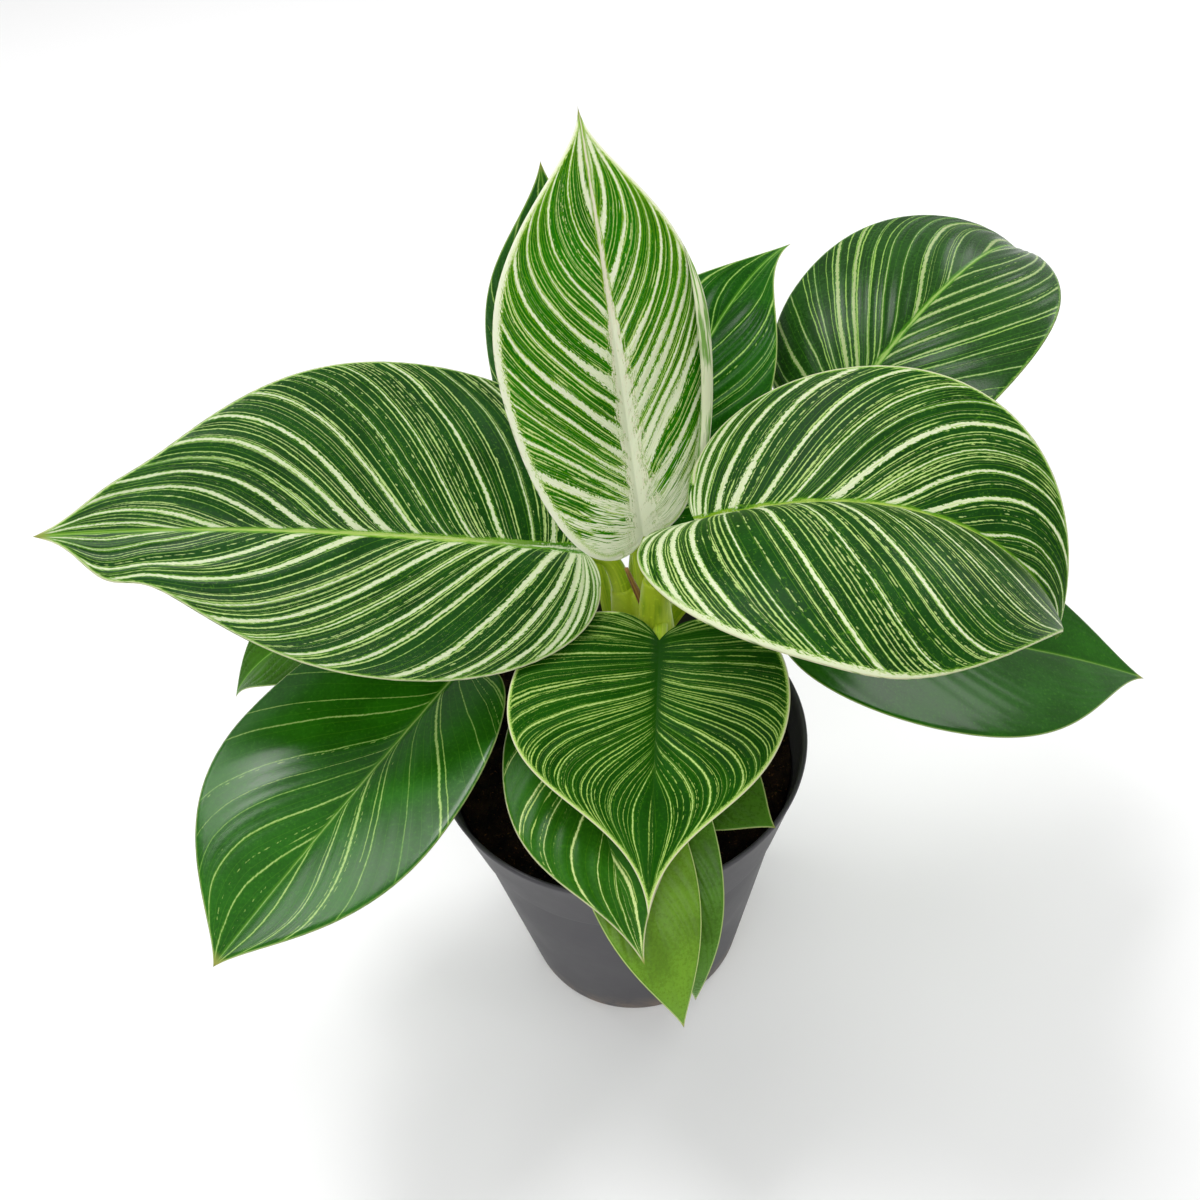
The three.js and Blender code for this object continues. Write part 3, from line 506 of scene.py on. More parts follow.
def margin(s, colour):
    """The pale margin, with its broad stretch."""
    look = s.look
    rim = look["rim"]
    if "band" in look:
        side, low, high, broadest = look["band"]
        stretch = s.remap(s.along, low - 0.05, low + 0.1) * s.remap(s.along, high - 0.2, high, 1.0, 0.0)
        rim = rim + stretch * s.math("GREATER_THAN", s.half * float(side), 0.0) * (broadest - look["rim"])
    inside = s.edge + s.ragged * 2.4 * rim - rim
    for key, start, strength in (("halo", 0.0, 0.8), ("line", -0.3, 1.0), ("cream", -0.6, 1.0)):
        colour = s.mix(s.remap(inside, start, start + 0.3, strength, 0.0), colour, look[key])
    return s.mix(s.remap(s.edge, 0.25, 0.4, 1.0, 0.0), colour, look["hem"])


def pale_midrib(s, colour):
    """The midrib, with its streaks."""
    look = s.look
    width = s.stops(s.along, look["rib"])
    streak = (s.woven("streaks", s.rib, s.along) - 0.5) * (width * 2.5)
    if "feather" in look:
        size, end = look["feather"]
        barbs = s.woven("barbs", s.across, s.reach) - 0.5
        streak = streak + barbs * s.remap(s.along, 0.0, end, 2 * size, 0.0)
    inside = width - (s.rib + (streak + s.ragged * (width * 2.0)))
    colour = s.mix(s.remap(inside, -0.7, -0.1), colour, look["halo"])
    vein = look.get("vein", look["line"])
    if "heart" in look:
        vein = s.mix(s.remap(s.along, 0.05, 0.25), look["heart"], vein)
    colour = s.mix(s.remap(inside, -0.1, 0.25), colour, vein)
    return s.mix(s.remap(inside, 0.6, 1.2), colour, look["cream"])


def underside(s, colour):
    """The back of the blade: paler, with faint streaks along the veins."""
    streak = s.remap(s.woven("back", s.stripe, s.reach), 0.50, 0.58, 0.0, 0.85)
    return s.mix(s.under, colour, s.mix(streak, s.look["under"], s.look.get("back", s.look["halo"])))


LAYERS = dict(thin_lines=thin_lines, width=broad_lines, patches=cream_patches, clear=bare_band,
              shade=painted_shade_at_base, rim=margin, rib=pale_midrib)


def blade_material(name, look, seed):
    s = BladeShader(name, look, seed)
    colour = ground(s)
    for key, layer in LAYERS.items():
        if key in look:
            colour = layer(s, colour)
    colour = s.mix(s.remap(s.along, 0.965, 0.99), colour, TIP_BROWN)
    relief = s.math("SINE", s.across * 9.0) * 0.3 + s.ragged * 0.6 + s.grain * 0.5
    s.bump(relief, 0.15 * look["calm"], 0.0004)
    gloss = s.remap(s.cloud, 0.3, 0.7, look["gloss"] - 0.03, look["gloss"] + 0.04)
    return s.set(Base_Color=underside(s, colour), Roughness=gloss + s.under * 0.2, Subsurface_Weight=0.05,
                 Specular_IOR_Level=look["shine"], Subsurface_Radius=(0.3, 0.6, 0.1), Subsurface_Scale=0.002)


def stalk_material(name, pale, dark, streak):
    s = Shader(name)
    streaks = s.noise(s.vector(s.attribute("around") * 14.0, s.attribute("along") * 0.05), 1.0, 3.0, 0.6)
    spots = s.noise(s.position(), 700.0, 2.0)
    colour = s.mix(s.remap(streaks, 0.45, 0.62) * streak, pale, dark)
    colour = s.mix(s.remap(spots, 0.62, 0.75, 0.0, 0.5), colour, shaded(pale, 1.5))
    s.bump(streaks, 0.25, 0.0003)
    return s.set(Base_Color=colour, Roughness=s.remap(spots, 0.3, 0.7, 0.36, 0.5), Subsurface_Weight=0.15,
                 Specular_IOR_Level=0.25, Subsurface_Radius=(0.5, 0.8, 0.2), Subsurface_Scale=0.003)


def soil_material():
    s = Shader("soil")
    coarse = s.noise(s.position(), 160.0, 5.0, 0.7)
    fine = s.noise(s.position(), 900.0, 4.0, 0.7)
    # Dark brown-black soil, darkened almost to black as painted shade for the shadow inside the pot; the pale
    # specks are its own.
    colour = s.mix(s.remap(coarse, 0.42, 0.62), (0.0010, 0.0007, 0.0005), (0.014, 0.007, 0.003))
    colour = s.mix(s.remap(fine, 0.60, 0.72), colour, (0.13, 0.06, 0.022))
    s.bump(coarse + fine * 0.5, 0.8, 0.001)
    return s.set(Base_Color=colour, Roughness=0.95, Specular_IOR_Level=0.1)


def pot_material():
    s = Shader("pot")
    cloud = s.noise(s.position(), 26.0, 4.0, 0.6)
    grain = s.noise(s.position(), 1400.0, 2.0, 0.6)
    scuffs = s.noise(s.position(), 75.0, 6.0, 0.75, 0.6)
    height = Value(s, s.node("ShaderNodeSeparateXYZ", {0: s.position()}).outputs[2])
    colour = s.mix(s.remap(cloud, 0.3, 0.7), (0.040, 0.038, 0.044), (0.056, 0.054, 0.061))
    colour = s.mix(s.remap(scuffs, 0.62, 0.78, 0.0, 0.35), colour, (0.09, 0.085, 0.09))
    dust = s.remap(height, 0.002, 0.014, 1.0, 0.0) * s.remap(scuffs, 0.42, 0.6)
    colour = s.mix(dust, colour, (0.16, 0.12, 0.09))
    s.bump(grain * 0.4 + scuffs, 0.12, 0.0004)
    return s.set(Base_Color=colour, Roughness=s.remap(cloud, 0.3, 0.7, 0.42, 0.58), Specular_IOR_Level=0.4)


# ---------------------------------------------------------------- meshes


def make_object(name, points, faces, attributes, material):
    mesh = bpy.data.meshes.new(name)
    mesh.from_pydata([tuple(p) for p in points], [], faces)
    for key, values in attributes.items():
        add_attribute(mesh, key, values)
    work = bmesh.new()
    work.from_mesh(mesh)
    bmesh.ops.remove_doubles(work, verts=work.verts, dist=2e-6)
    bmesh.ops.dissolve_degenerate(work, dist=1e-6, edges=work.edges)
    bmesh.ops.recalc_face_normals(work, faces=work.faces)
    work.to_mesh(mesh)
    work.free()
    mesh.polygons.foreach_set("use_smooth", [True] * len(mesh.polygons))
    mesh.materials.append(material)
    made = bpy.data.objects.new(name, mesh)
    bpy.context.scene.collection.objects.link(made)
    return made


def add_attribute(mesh, key, values):
    mesh.attributes.new(key, "FLOAT", "POINT").data.foreach_set("value", np.asarray(values, np.float32))


def apply_modifiers(piece):
    bpy.context.view_layer.update()
    evaluated = piece.evaluated_get(bpy.context.evaluated_depsgraph_get())
    mesh = bpy.data.meshes.new_from_object(evaluated)
    piece.modifiers.clear()
    piece.data = mesh


def finish_piece(piece, slot, *nodes):
    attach(piece, "root")
    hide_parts(*nodes)


def ring(radius, height, sides):
    """A level circle of points around the pot's axis."""
    angles = [2 * math.pi * k / sides for k in range(sides)]
    return [(radius * math.cos(a) * MM, radius * math.sin(a) * MM, height * MM) for a in angles]


def ring_faces(rings, sides):
    """The quads between neighbouring rings."""
    edges = [(i * sides + k, i * sides + (k + 1) % sides) for i in range(rings - 1) for k in range(sides)]
    return [(a, b, b + sides, a + sides) for a, b in edges]


def bezier(p0, p1, p2, p3, t):
    s = 1 - t
    return s**3 * p0 + 3 * s * s * t * p1 + 3 * s * t * t * p2 + t**3 * p3


def smooth_step(x, low, high):
    t = np.clip((x - low) / (high - low), 0, 1)
    return t * t * (3 - 2 * t)


# ---------------------------------------------------------------- blades

# How far a curve's handles reach for a quarter circle. The swelling near the tip: its place and its length.
QUARTER = 0.5523
SWELL_AT, SWELL_LENGTH = 0.87, 0.06
LARGE = 90
# The number of veins in the mesh, and of waves in its relief, for a large blade and a small one.
ROWS, WAVES = (120, 76), (13, 9)
VEIN_PLACES = np.concatenate([np.linspace(0, 0.12, 6)[:-1], np.linspace(0.12, 0.95, 21)[:-1], [0.95, 0.98, 1.0]])
# The blade's relief. half: half its thickness. wave: the waves along the veins, which fade towards the midrib
# and the margin. groove, keel: the midrib above and below. swell: how much thicker the blade is around it, up to
# where. hem: over what distance the margin thins out.
RELIEF = dict(half=0.35, wave=0.16, fade_rib=6, fade_edge=3, groove=0.45, groove_width=1.6,
              keel=1.5, keel_width=2.2, swell=0.2, swell_until=9, hem=0.8)
# The young leaf's right margin, still rolled in. radius, turn, lip: the roll's radius, angle and half thickness.
# grows, ends: where along the blade it starts and runs out. pull: how wide a strip beside it is drawn in with it.
# stripes, edge: how the stripes go on around it, and the distance to the margin at its start and end.
ROLL = dict(leaf="leaf_01", side=-1, radius=2.4, turn=215, steps=12, lip=0.3, grows=(0.04, 0.22),
            ends=(0.50, 0.68), pull=9, stripes=0.09, edge=(5, 0.2))
# What a blade's material reads at each point. stripe: its place among the broad lines. gauge: mm from one broad
# line to the next. reach: 0 at the midrib and 1 at the end of the vein. edge, rib: mm to the margin and to the
# midrib. under: 1 on the underside. half: the side. along: 0 at the base and 1 at the tip.
ATTRIBUTES = ("stripe", "gauge", "reach", "edge", "rib", "under", "half", "along")


def of_side(pair, side):
    """The value of the left half (side 1) or of the right half (-1)."""
    return pair[0 if side > 0 else 1]


def outline(leaf, u, half, lobe, swell):
    """The half outline, from the back of the lobe (u = 0) to the tip (u = 1), in blade lengths."""
    inner = INNER_LOBE * half
    widest = leaf["widest"]
    front = 1 - widest
    t = np.clip(u / LOBE_SHARE, 0, 1)
    x_back = bezier(-lobe, -lobe, widest - QUARTER * (widest + lobe), widest, t)
    y_back = bezier(inner, inner + QUARTER * (half - inner), half, half, t)
    t = np.clip((u - LOBE_SHARE) / (1 - LOBE_SHARE), 0, 1)
    x_front = bezier(widest, widest + 0.5 * front, 1 - (0.22 + 0.38 * leaf["point"]) * front, 1, t)
    y_front = bezier(half, half, (1 - leaf["point"]) * 0.45 * half, 0, t)
    x = np.where(u < LOBE_SHARE, x_back, x_front)
    y = np.where(u < LOBE_SHARE, y_back, y_front)
    y = y * (1 - leaf["drip"][0] * np.exp((x - 1) / leaf["drip"][1]))
    return x, y + swell * np.exp(-(((x - SWELL_AT) / SWELL_LENGTH) ** 2)) * (u < 1)


def half_outline(leaf, side, u):
    half = leaf["width"] / leaf["length"] / 2 * (1 + side * leaf["skew"])
    return outline(leaf, u, half, of_side(leaf["lobe"], side), of_side(leaf.get("swell", (0, 0)), side))


def flat_vein(leaf, side, u, v, sweep):
    """A place on the flat blade: u picks the side vein, v runs along it from the midrib to its end.

    Up to u = 1 a vein ends on the outline at u, and beyond it in the tip. The veins of the lobes fan out from the
    base. The others leave the midrib along it, swing out, and end almost along the margin.
    """
    tip = np.clip((u - 1) / TIP_FAN, 0, 1)
    u = np.minimum(u, 1)
    end_x, end_y = half_outline(leaf, side, u)
    mean_x, _ = outline(leaf, u, leaf["width"] / leaf["length"] / 2, sum(leaf["lobe"]) / 2, 0)
    last = sweep["last"]
    start = last * np.clip(mean_x, 0, 1) ** of_side(sweep["power"], side) + (1 - last) * sweep["follow"] * tip
    run = end_x - start
    w = 1 - v
    fan_x = w * w * start + 2 * w * v * ((start + end_x) / 2 - BOW * end_y) + v * v * end_x
    fan_y = 2 * w * v * (end_y / 2 + BOW * run) + v * v * end_y
    line_x, line_y = half_outline(leaf, side, np.linspace(0, 1, 600))
    widest = int(np.argmax(line_y))
    swept_x = start + run * v
    width = np.where(swept_x > line_x[widest], np.interp(swept_x, line_x[widest:], line_y[widest:]),
                     np.interp(swept_x, line_x[: widest + 1], line_y[: widest + 1]))
    back, front = sweep["bowl"]
    bowl = back + (front - back) * np.clip((end_x - 0.45) / 0.35, 0, 1)
    out = (1 - w**bowl) * (1 - np.exp(-v / sweep["lag"])) / (1 - math.exp(-1 / sweep["lag"]))
    swept_y = width * out * (1 - tip)
    swept = smooth_step(end_x, *sweep["fan"])
    return fan_x + (swept_x - fan_x) * swept, fan_y + (swept_y - fan_y) * swept


def midrib_of(leaf):
    """Returns a function of x that gives point, along, across and out as arrays, in millimetres."""
    x = np.linspace(-0.35, 1, 49)
    run = np.maximum(x, 0)
    slope = np.radians(leaf["rise"] - leaf["arch"] * run ** leaf["late"])
    heading = np.radians(leaf["heading"] + leaf["swing"] * run)
    roll = np.radians(leaf["roll"] + leaf["twist"] * run)[:, None]
    along = np.stack([np.cos(slope) * np.cos(heading), np.cos(slope) * np.sin(heading), np.sin(slope)], 1)
    level = np.stack([-np.sin(heading), np.cos(heading), np.zeros_like(heading)], 1)
    up = np.cross(along, level)
    across = np.cos(roll) * level + np.sin(roll) * up
    out = np.cross(along, across)
    steps = (along[1:] + along[:-1]) / 2 * (x[1] - x[0]) * leaf["length"]
    point = np.concatenate([[[0, 0, 0]], np.cumsum(steps, 0)])

    def sample(table, where):
        return np.stack([np.interp(where, x, table[:, k]) for k in range(3)], -1)

    point = point - sample(point, 0.0) + np.array(leaf["base"], float)
    return lambda where: [sample(table, where) for table in (point, along, across, out)]


def blade_surface(leaf, midrib, side, u, v, sweep):
    """Point, upward direction and flat place of the bent blade, as grids over u and v."""
    x, y = flat_vein(leaf, side, u[:, None], v[None, :], sweep)
    reach = y * leaf["length"]
    fold = math.radians(of_side(leaf["fold"], side))
    bend = (math.radians(of_side(leaf["curl"], side)) or 1e-6) / (leaf["width"] / 2)
    slope = fold + bend * reach
    point, _, across, out = midrib(x)
    sideways = side * (np.sin(slope) - math.sin(fold)) / bend
    upwards = (math.cos(fold) - np.cos(slope)) / bend
    point = point + across * sideways[..., None] + out * upwards[..., None]
    tilt = (slope * reach / (reach + 2))[..., None]
    normal = out * np.cos(tilt) - side * across * np.sin(tilt)
    return point, normal, x, reach


def edge_distance(leaf, side, x, reach):
    """Distance to the margin on the flat blade, in millimetres."""
    line = np.stack(half_outline(leaf, side, np.linspace(0, 1, 160)), 1) * leaf["length"]
    here = np.stack([x * leaf["length"], reach], -1)
    best = np.full(x.shape, 1e9)
    for a, d in zip(line[:-1], np.diff(line, axis=0)):
        t = np.clip(((here - a) @ d) / max(d @ d, 1e-12), 0, 1)
        best = np.minimum(best, np.linalg.norm(here - a - t[..., None] * d, axis=-1))
    return best


def blade_half(leaf, midrib, side, look):
    """One half as grids of points, normals and heights of both faces, with what the material reads."""
    large = leaf["length"] > LARGE
    u = np.linspace(0, 1 + TIP_FAN, (ROWS[0] if large else ROWS[1]) + 1)
    point, normal, x, rib = blade_surface(leaf, midrib, side, u, VEIN_PLACES, look["sweep"])
    edge = edge_distance(leaf, side, x, rib)

    broad = of_side(look["broad"], side)
    stripe = np.interp(u, [-0.05, *broad, 1.26], np.arange(len(broad) + 2) - 1)
    forward = np.gradient(point, axis=1)
    forward /= np.linalg.norm(forward, axis=2)[..., None] + 1e-9
    apart = np.gradient(point, axis=0) / np.gradient(stripe)[:, None, None]
    apart -= forward * np.sum(apart * forward, 2)[..., None]

    r = RELIEF
    taper = 1 - np.clip(x, 0, 1)
    wave = r["wave"] * look["calm"] * np.cos(2 * math.pi * (WAVES[0] if large else WAVES[1]) * u)[:, None]
    wave = wave * np.clip(rib / r["fade_rib"], 0, 1) * np.clip(edge / r["fade_edge"], 0, 1)
    groove = r["groove"] * np.exp(-((rib / r["groove_width"]) ** 2)) * taper
    keel = r["keel"] * np.exp(-((rib / r["keel_width"]) ** 2)) + r["swell"]
    hem = np.clip(edge / r["hem"], 0.0, 1.0)
    return dict(
        point=point, normal=normal,
        upper=(r["half"] - groove + wave) * hem,
        lower=(-r["half"] - keel * taper * (rib < r["swell_until"]) + wave) * hem,
        stripe=np.broadcast_to(stripe[:, None], x.shape),
        gauge=np.clip(np.linalg.norm(apart, axis=2), 0.05, 60),
        reach=np.broadcast_to(VEIN_PLACES, x.shape),
        edge=edge, rib=rib, along=x, half=np.full(x.shape, side),
    )


def with_rolled_margin(grids):
    """The same grids, drawn in, with more columns that carry the margin on around a tight inward roll."""
    last, up = grids["point"][:, -1], grids["normal"][:, -1]
    forward = np.gradient(last, axis=0)
    forward /= np.linalg.norm(forward, axis=1)[:, None] + 1e-9
    outward = np.cross(forward, up)
    outward *= np.sign(np.sum(outward * (last - grids["point"][:, -3]), 1))[:, None]

    x = grids["along"][:, -1:]
    share = smooth_step(x, *ROLL["grows"]) * (1 - smooth_step(x, *ROLL["ends"]))
    radius = ROLL["radius"] * np.sqrt(share)
    inset = np.clip(1 - grids["edge"] / ROLL["pull"], 0, 1) * ROLL["radius"] * np.sqrt(share)
    shift = -outward[:, None, :] * inset[..., None]
    steps = ROLL["steps"]
    turns = np.radians(np.linspace(0, ROLL["turn"], steps + 1)[1:])
    points = [last + outward * radius * np.sin(a) + up * radius * (1 - np.cos(a)) + shift[:, -1] for a in turns]
    normals = [up * math.cos(a) - outward * math.sin(a) for a in turns]
    joint = ROLL["lip"] * share
    lip = ROLL["lip"] * np.clip(np.arange(steps, 0, -1) / 2, 0, 1) * (share > 0.02) * share

    flat = dict(
        grids, point=grids["point"] + shift, edge=grids["edge"] + ROLL["edge"][0] * share,
        upper=np.concatenate([grids["upper"][:, :-1], joint], 1),
        lower=np.concatenate([grids["lower"][:, :-1], -joint], 1),
    )
    roll = {key: np.repeat(grids[key][:, -1:], steps, 1) for key in ("gauge", "rib", "along", "half")}
    roll.update(
        point=np.stack(points, 1), normal=np.stack(normals, 1), upper=lip, lower=-lip, reach=roll["along"],
        stripe=np.broadcast_to(ROLL["stripes"] * np.arange(1, steps + 1), lip.shape),
        edge=np.broadcast_to(np.linspace(*ROLL["edge"], steps), lip.shape),
    )
    return {key: np.concatenate([flat[key], roll[key]], 1) for key in flat}


def shell_faces(first, shape):
    """The faces of a thin shell: its upper and lower grids, its margin and its back edge."""
    upper, lower = first + np.arange(2 * shape[0] * shape[1]).reshape(2, *shape)
    sheets = [np.stack([a[:-1, :-1], a[1:, :-1], a[1:, 1:], a[:-1, 1:]], -1) for a in (upper, lower)]
    margin = np.stack([upper[:-1, -1], upper[1:, -1], lower[1:, -1], lower[:-1, -1]], -1)
    back = np.stack([upper[0, :-1], upper[0, 1:], lower[0, 1:], lower[0, :-1]], -1)
    quads = np.concatenate([*(sheet.reshape(-1, 4) for sheet in sheets), margin, back])
    return [tuple(quad) for quad in quads.tolist()]


def blade(leaf, midrib, look):
    """A closed thin blade with relief along its veins, and the attributes that its material reads."""
    points, faces = [], []
    attributes = {key: [] for key in ATTRIBUTES}
    for side in (1, -1):
        grids = blade_half(leaf, midrib, side, look)
        if (leaf["name"], side) == (ROLL["leaf"], ROLL["side"]):
            grids = with_rolled_margin(grids)
        faces.extend(shell_faces(len(points), grids["edge"].shape))
        for under, height in enumerate((grids["upper"], grids["lower"])):
            points.extend(((grids["point"] + grids["normal"] * height[..., None]) * MM).reshape(-1, 3))
            grids["under"] = np.full(height.shape, float(under))
            for key in ATTRIBUTES:
                attributes[key].extend(grids[key].ravel())
    return points, faces, attributes


# ---------------------------------------------------------------- stalks and stem


def tube(line, radii, sides=20):
    """A round tube along a line, with closed ends."""
    line = np.asarray(line, float)
    forward = np.gradient(line, axis=0)
    forward /= np.linalg.norm(forward, axis=1)[:, None]
    across = np.cross((0, 0, 1), forward[0])
    if np.linalg.norm(across) < 0.1:
        across = np.array((1.0, 0, 0))
    points, attributes = [], {"around": [], "along": []}
    run = np.concatenate([[0], np.cumsum(np.linalg.norm(np.diff(line, axis=0), axis=1))])
    for i, centre in enumerate(line):
        across = across - forward[i] * (across @ forward[i])
        across /= np.linalg.norm(across)
        up = np.cross(forward[i], across)
        for k in range(sides):
            a = 2 * math.pi * k / sides
            points.append((centre + radii[i] * (across * math.cos(a) + up * math.sin(a))) * MM)
            attributes["around"].append(abs(k / sides - 0.5) * 2)
            attributes["along"].append(run[i])
    faces = ring_faces(len(line), sides)
    faces.append(tuple(reversed(range(sides))))
    faces.append(tuple(range(len(points) - sides, len(points))))
    return points, faces, attributes


def stem_centre(height):
    foot, top = np.array(STEM["foot"], float), np.array(STEM["top"], float)
    return foot + (top - foot) * (height - foot[2]) / (top[2] - foot[2])


def stem_radius(height):
    share = (height - STEM["foot"][2]) / (STEM["top"][2] - STEM["foot"][2])
    return STEM["foot_radius"] + (STEM["top_radius"] - STEM["foot_radius"]) * share


def petiole_line(leaf, midrib):
    """The petiole's curve as points, from its start to its neck behind the blade, and its radii."""
    base, along, _, out = midrib(0.0)
    foot_radius, tip_radius = leaf["radius"]
    neck = base - out * tip_radius * HANG - along * (STUB + GAP) - along * NECK
    in_soil = "soil" in leaf
    centre = np.array((*leaf["soil"], ROOT_HEIGHT), float) if in_soil else stem_centre(leaf["node"])
    azimuth = math.atan2(leaf["base"][1] - centre[1], leaf["base"][0] - centre[0])
    azimuth += math.radians(leaf.get("turn", 0))
    outward = np.array((math.cos(azimuth), math.sin(azimuth), 0))
    start = centre if in_soil else centre + outward * stem_radius(leaf["node"]) / 2
    lean = math.radians(leaf["lean"])
    leave = outward * math.cos(lean) + np.array((0, 0, math.sin(lean)))
    pull = leaf["pull"] * np.linalg.norm(neck - start)
    t = np.linspace(0, 1, CURVE_POINTS)[:, None]
    curve = bezier(start, start + leave * pull, neck - along * pull, neck, t)
    return curve, foot_radius + (tip_radius - foot_radius) * t[:, 0]


def petiole(leaf, midrib):
    """The bare petiole, and the keel that runs on from it under the blade."""
    curve, radii = petiole_line(leaf, midrib)
    tip_radius = leaf["radius"][1]
    first = 0 if "soil" in leaf else BARE_FROM
    line, sizes = list(curve[first:]), list(radii[first:])
    under_blade = [(-STUB, HANG, 1.0), (0.0, HANG, 1.0)]
    under_blade += [(place * tip_radius, hang, share) for place, hang, share in KEEL]
    for place, hang, share in under_blade:
        point, _, _, out = midrib(place / leaf["length"])
        line.append(point - out * tip_radius * hang)
        sizes.append(tip_radius * share)
    return tube(line, sizes)


# ---------------------------------------------------------------- the pieces

BLADE_SLOTS = {"leaf_01": "young_blade"}
BLADE_SLOTS.update((name, "striped_blade") for name in ("leaf_02", "leaf_03", "leaf_04", "leaf_05", "leaf_09"))

for number, leaf in enumerate(LEAVES):
    name = leaf["name"]
    material = blade_material(name, LOOKS[name], 10 * number + 3)
    mesh = blade(leaf, midrib_of(leaf), LOOKS[name])
    piece = make_object(name.replace("leaf", "blade"), *mesh, material)
    finish_piece(piece, BLADE_SLOTS.get(name, "plain_blade"), name)

petiole_material = stalk_material("petiole", (0.40, 0.53, 0.02), (0.14, 0.32, 0.006), 0.6)
for leaf in LEAVES:
    mesh = petiole(leaf, midrib_of(leaf))
    piece = make_object(leaf["name"].replace("leaf", "stalk"), *mesh, petiole_material)
    finish_piece(piece, "petiole", leaf["name"].replace("leaf", "petiole"))

MELT = dict(voxel=0.7, factor=0.5, passes=3)


def stem_piece():
    """The stem and the sheaths that wrap it, melted into one surface."""
    heights = np.linspace(STEM["foot"][2], STEM["top"][2], 25)
    uneven = [stem_radius(h) + 0.25 * (1 + math.cos(h)) for h in heights]
    parts = [tube([stem_centre(h) for h in heights], uneven, 32)]
    for leaf in LEAVES:
        if "soil" in leaf:
            continue
        curve, radii = petiole_line(leaf, midrib_of(leaf))
        share = np.linspace(0, 1, SHEATHED)
        sizes = SHEATH_RADIUS + (radii[SHEATHED] + SHEATH_LIP - SHEATH_RADIUS) * share**SHEATH_TAPER
        parts.append(tube(curve[:SHEATHED], sizes, 24))
    points, faces = [], []
    for part_points, part_faces, _ in parts:
        first = len(points)
        points.extend(part_points)
        faces.extend([tuple(first + i for i in face) for face in part_faces])
    material = stalk_material("stem", (0.38, 0.50, 0.02), (0.14, 0.28, 0.006), 0.6)
    piece = make_object("stem_and_sheaths", points, faces, {}, material)
    remesh = piece.modifiers.new("melt", "REMESH")
    remesh.mode = "VOXEL"
    remesh.voxel_size = MELT["voxel"] * MM
    remesh.use_smooth_shade = True
    smooth = piece.modifiers.new("smooth", "SMOOTH")
    smooth.factor = MELT["factor"]
    smooth.iterations = MELT["passes"]
    apply_modifiers(piece)

    # Where its streaks run: around the stem and along it.
    places = np.zeros(len(piece.data.vertices) * 3)
    piece.data.vertices.foreach_get("co", places)
    places = places.reshape(-1, 3) / MM
    centre = np.array([stem_centre(h) for h in places[:, 2]])
    around = np.arctan2(places[:, 1] - centre[:, 1], places[:, 0] - centre[:, 0]) / math.pi
    add_attribute(piece.data, "around", np.abs(around))
    add_attribute(piece.data, "along", places[:, 2])
    return piece


def cataphyll_piece():
    """The dry sheath edge, a thin curved strip."""
    corners = range(len(CATAPHYLL))
    where = np.linspace(0, len(CATAPHYLL) - 1, 25)
    line = np.stack([np.interp(where, corners, values) for values in np.array(CATAPHYLL, float).T], 1)
    strip = tube(line, np.interp(where, corners, CATAPHYLL_RADII), 12)
    dry = stalk_material("cataphyll", (0.33, 0.19, 0.05), (0.14, 0.05, 0.025), 0.9)
    return make_object("cataphyll_strip", *strip, dry)


finish_piece(stem_piece(), "stem", "stem")
finish_piece(cataphyll_piece(), "cataphyll", "cataphyll")

# The pot's profile, outside from the base up and inside down again. Heights where the wall is plain, the rounded
# corner of the base (in from its radius, height), the step under the collar, and the rounded rim.
POT_SIDES = 144
FLOOR_RADII = (12, 24, 32)
BASE_CORNER = [(1.6, 0), (0.6, 0.25), (0, 0.9)]
LOWER_WALL = (2, 8, 20, 40, 60, 78, COLLAR_FOOT - 1.6, COLLAR_FOOT - 1.0)
COLLAR_EDGE = (0.2, 0.5)
UPPER_WALL = (COLLAR_FOOT, COLLAR_FOOT + 1, 95, 102, 110, 115)
RIM_CORNER = [(0.1, 116.6), (0.02, 117.3), (0.35, 117.85), (0.75, POT["height"]), (POT["wall"], 117.6)]
INNER_WALL = (115, 108, 100, COLLAR_FOOT + 1, COLLAR_FOOT - 1, 70, 50, 30, 12, 4)
INNER_CORNER = (1, 1.7)


def wall_radius(height):
    """The pot's outer radius."""
    if height >= COLLAR_FOOT:
        return POT["collar"] + (POT["rim"] - POT["collar"]) * (height - COLLAR_FOOT) / POT["collar_depth"]
    return POT["base"] + (POT["collar"] - POT["step"] - POT["base"]) * height / COLLAR_FOOT


def pot_piece():
    edge_in, edge_down = COLLAR_EDGE
    corner_in, corner_height = INNER_CORNER
    profile = [(0, 0)] + [(r, 0) for r in FLOOR_RADII] + [(POT["base"] - inward, z) for inward, z in BASE_CORNER]
    profile += [(wall_radius(z), z) for z in LOWER_WALL]
    profile += [(wall_radius(COLLAR_FOOT) - edge_in, COLLAR_FOOT - edge_down)]
    profile += [(wall_radius(z), z) for z in UPPER_WALL] + [(POT["rim"] - inward, z) for inward, z in RIM_CORNER]
    profile += [(wall_radius(z) - POT["wall"], z) for z in INNER_WALL]
    profile += [(wall_radius(2) - POT["wall"] - corner_in, corner_height)]
    profile += [(r, POT["floor"]) for r in (*reversed(FLOOR_RADII), 0)]
    points = [point for radius, z in profile for point in ring(radius, z, POT_SIDES)]
    piece = make_object("nursery_pot", points, ring_faces(len(profile), POT_SIDES), {}, pot_material())
    cutters = []
    for place in ring(POT["hole_ring"], 0, POT["holes"]):
        size = dict(vertices=32, radius=POT["hole_radius"] * MM, depth=0.01)
        bpy.ops.mesh.primitive_cylinder_add(**size, location=place)
        cutters.append(bpy.context.object)
        cut = piece.modifiers.new("hole", "BOOLEAN")
        cut.operation = "DIFFERENCE"
        cut.solver = "EXACT"
        cut.object = cutters[-1]
    apply_modifiers(piece)
    for cutter in cutters:
        bpy.data.objects.remove(cutter)
    return piece


finish_piece(pot_piece(), "pot", "pot")

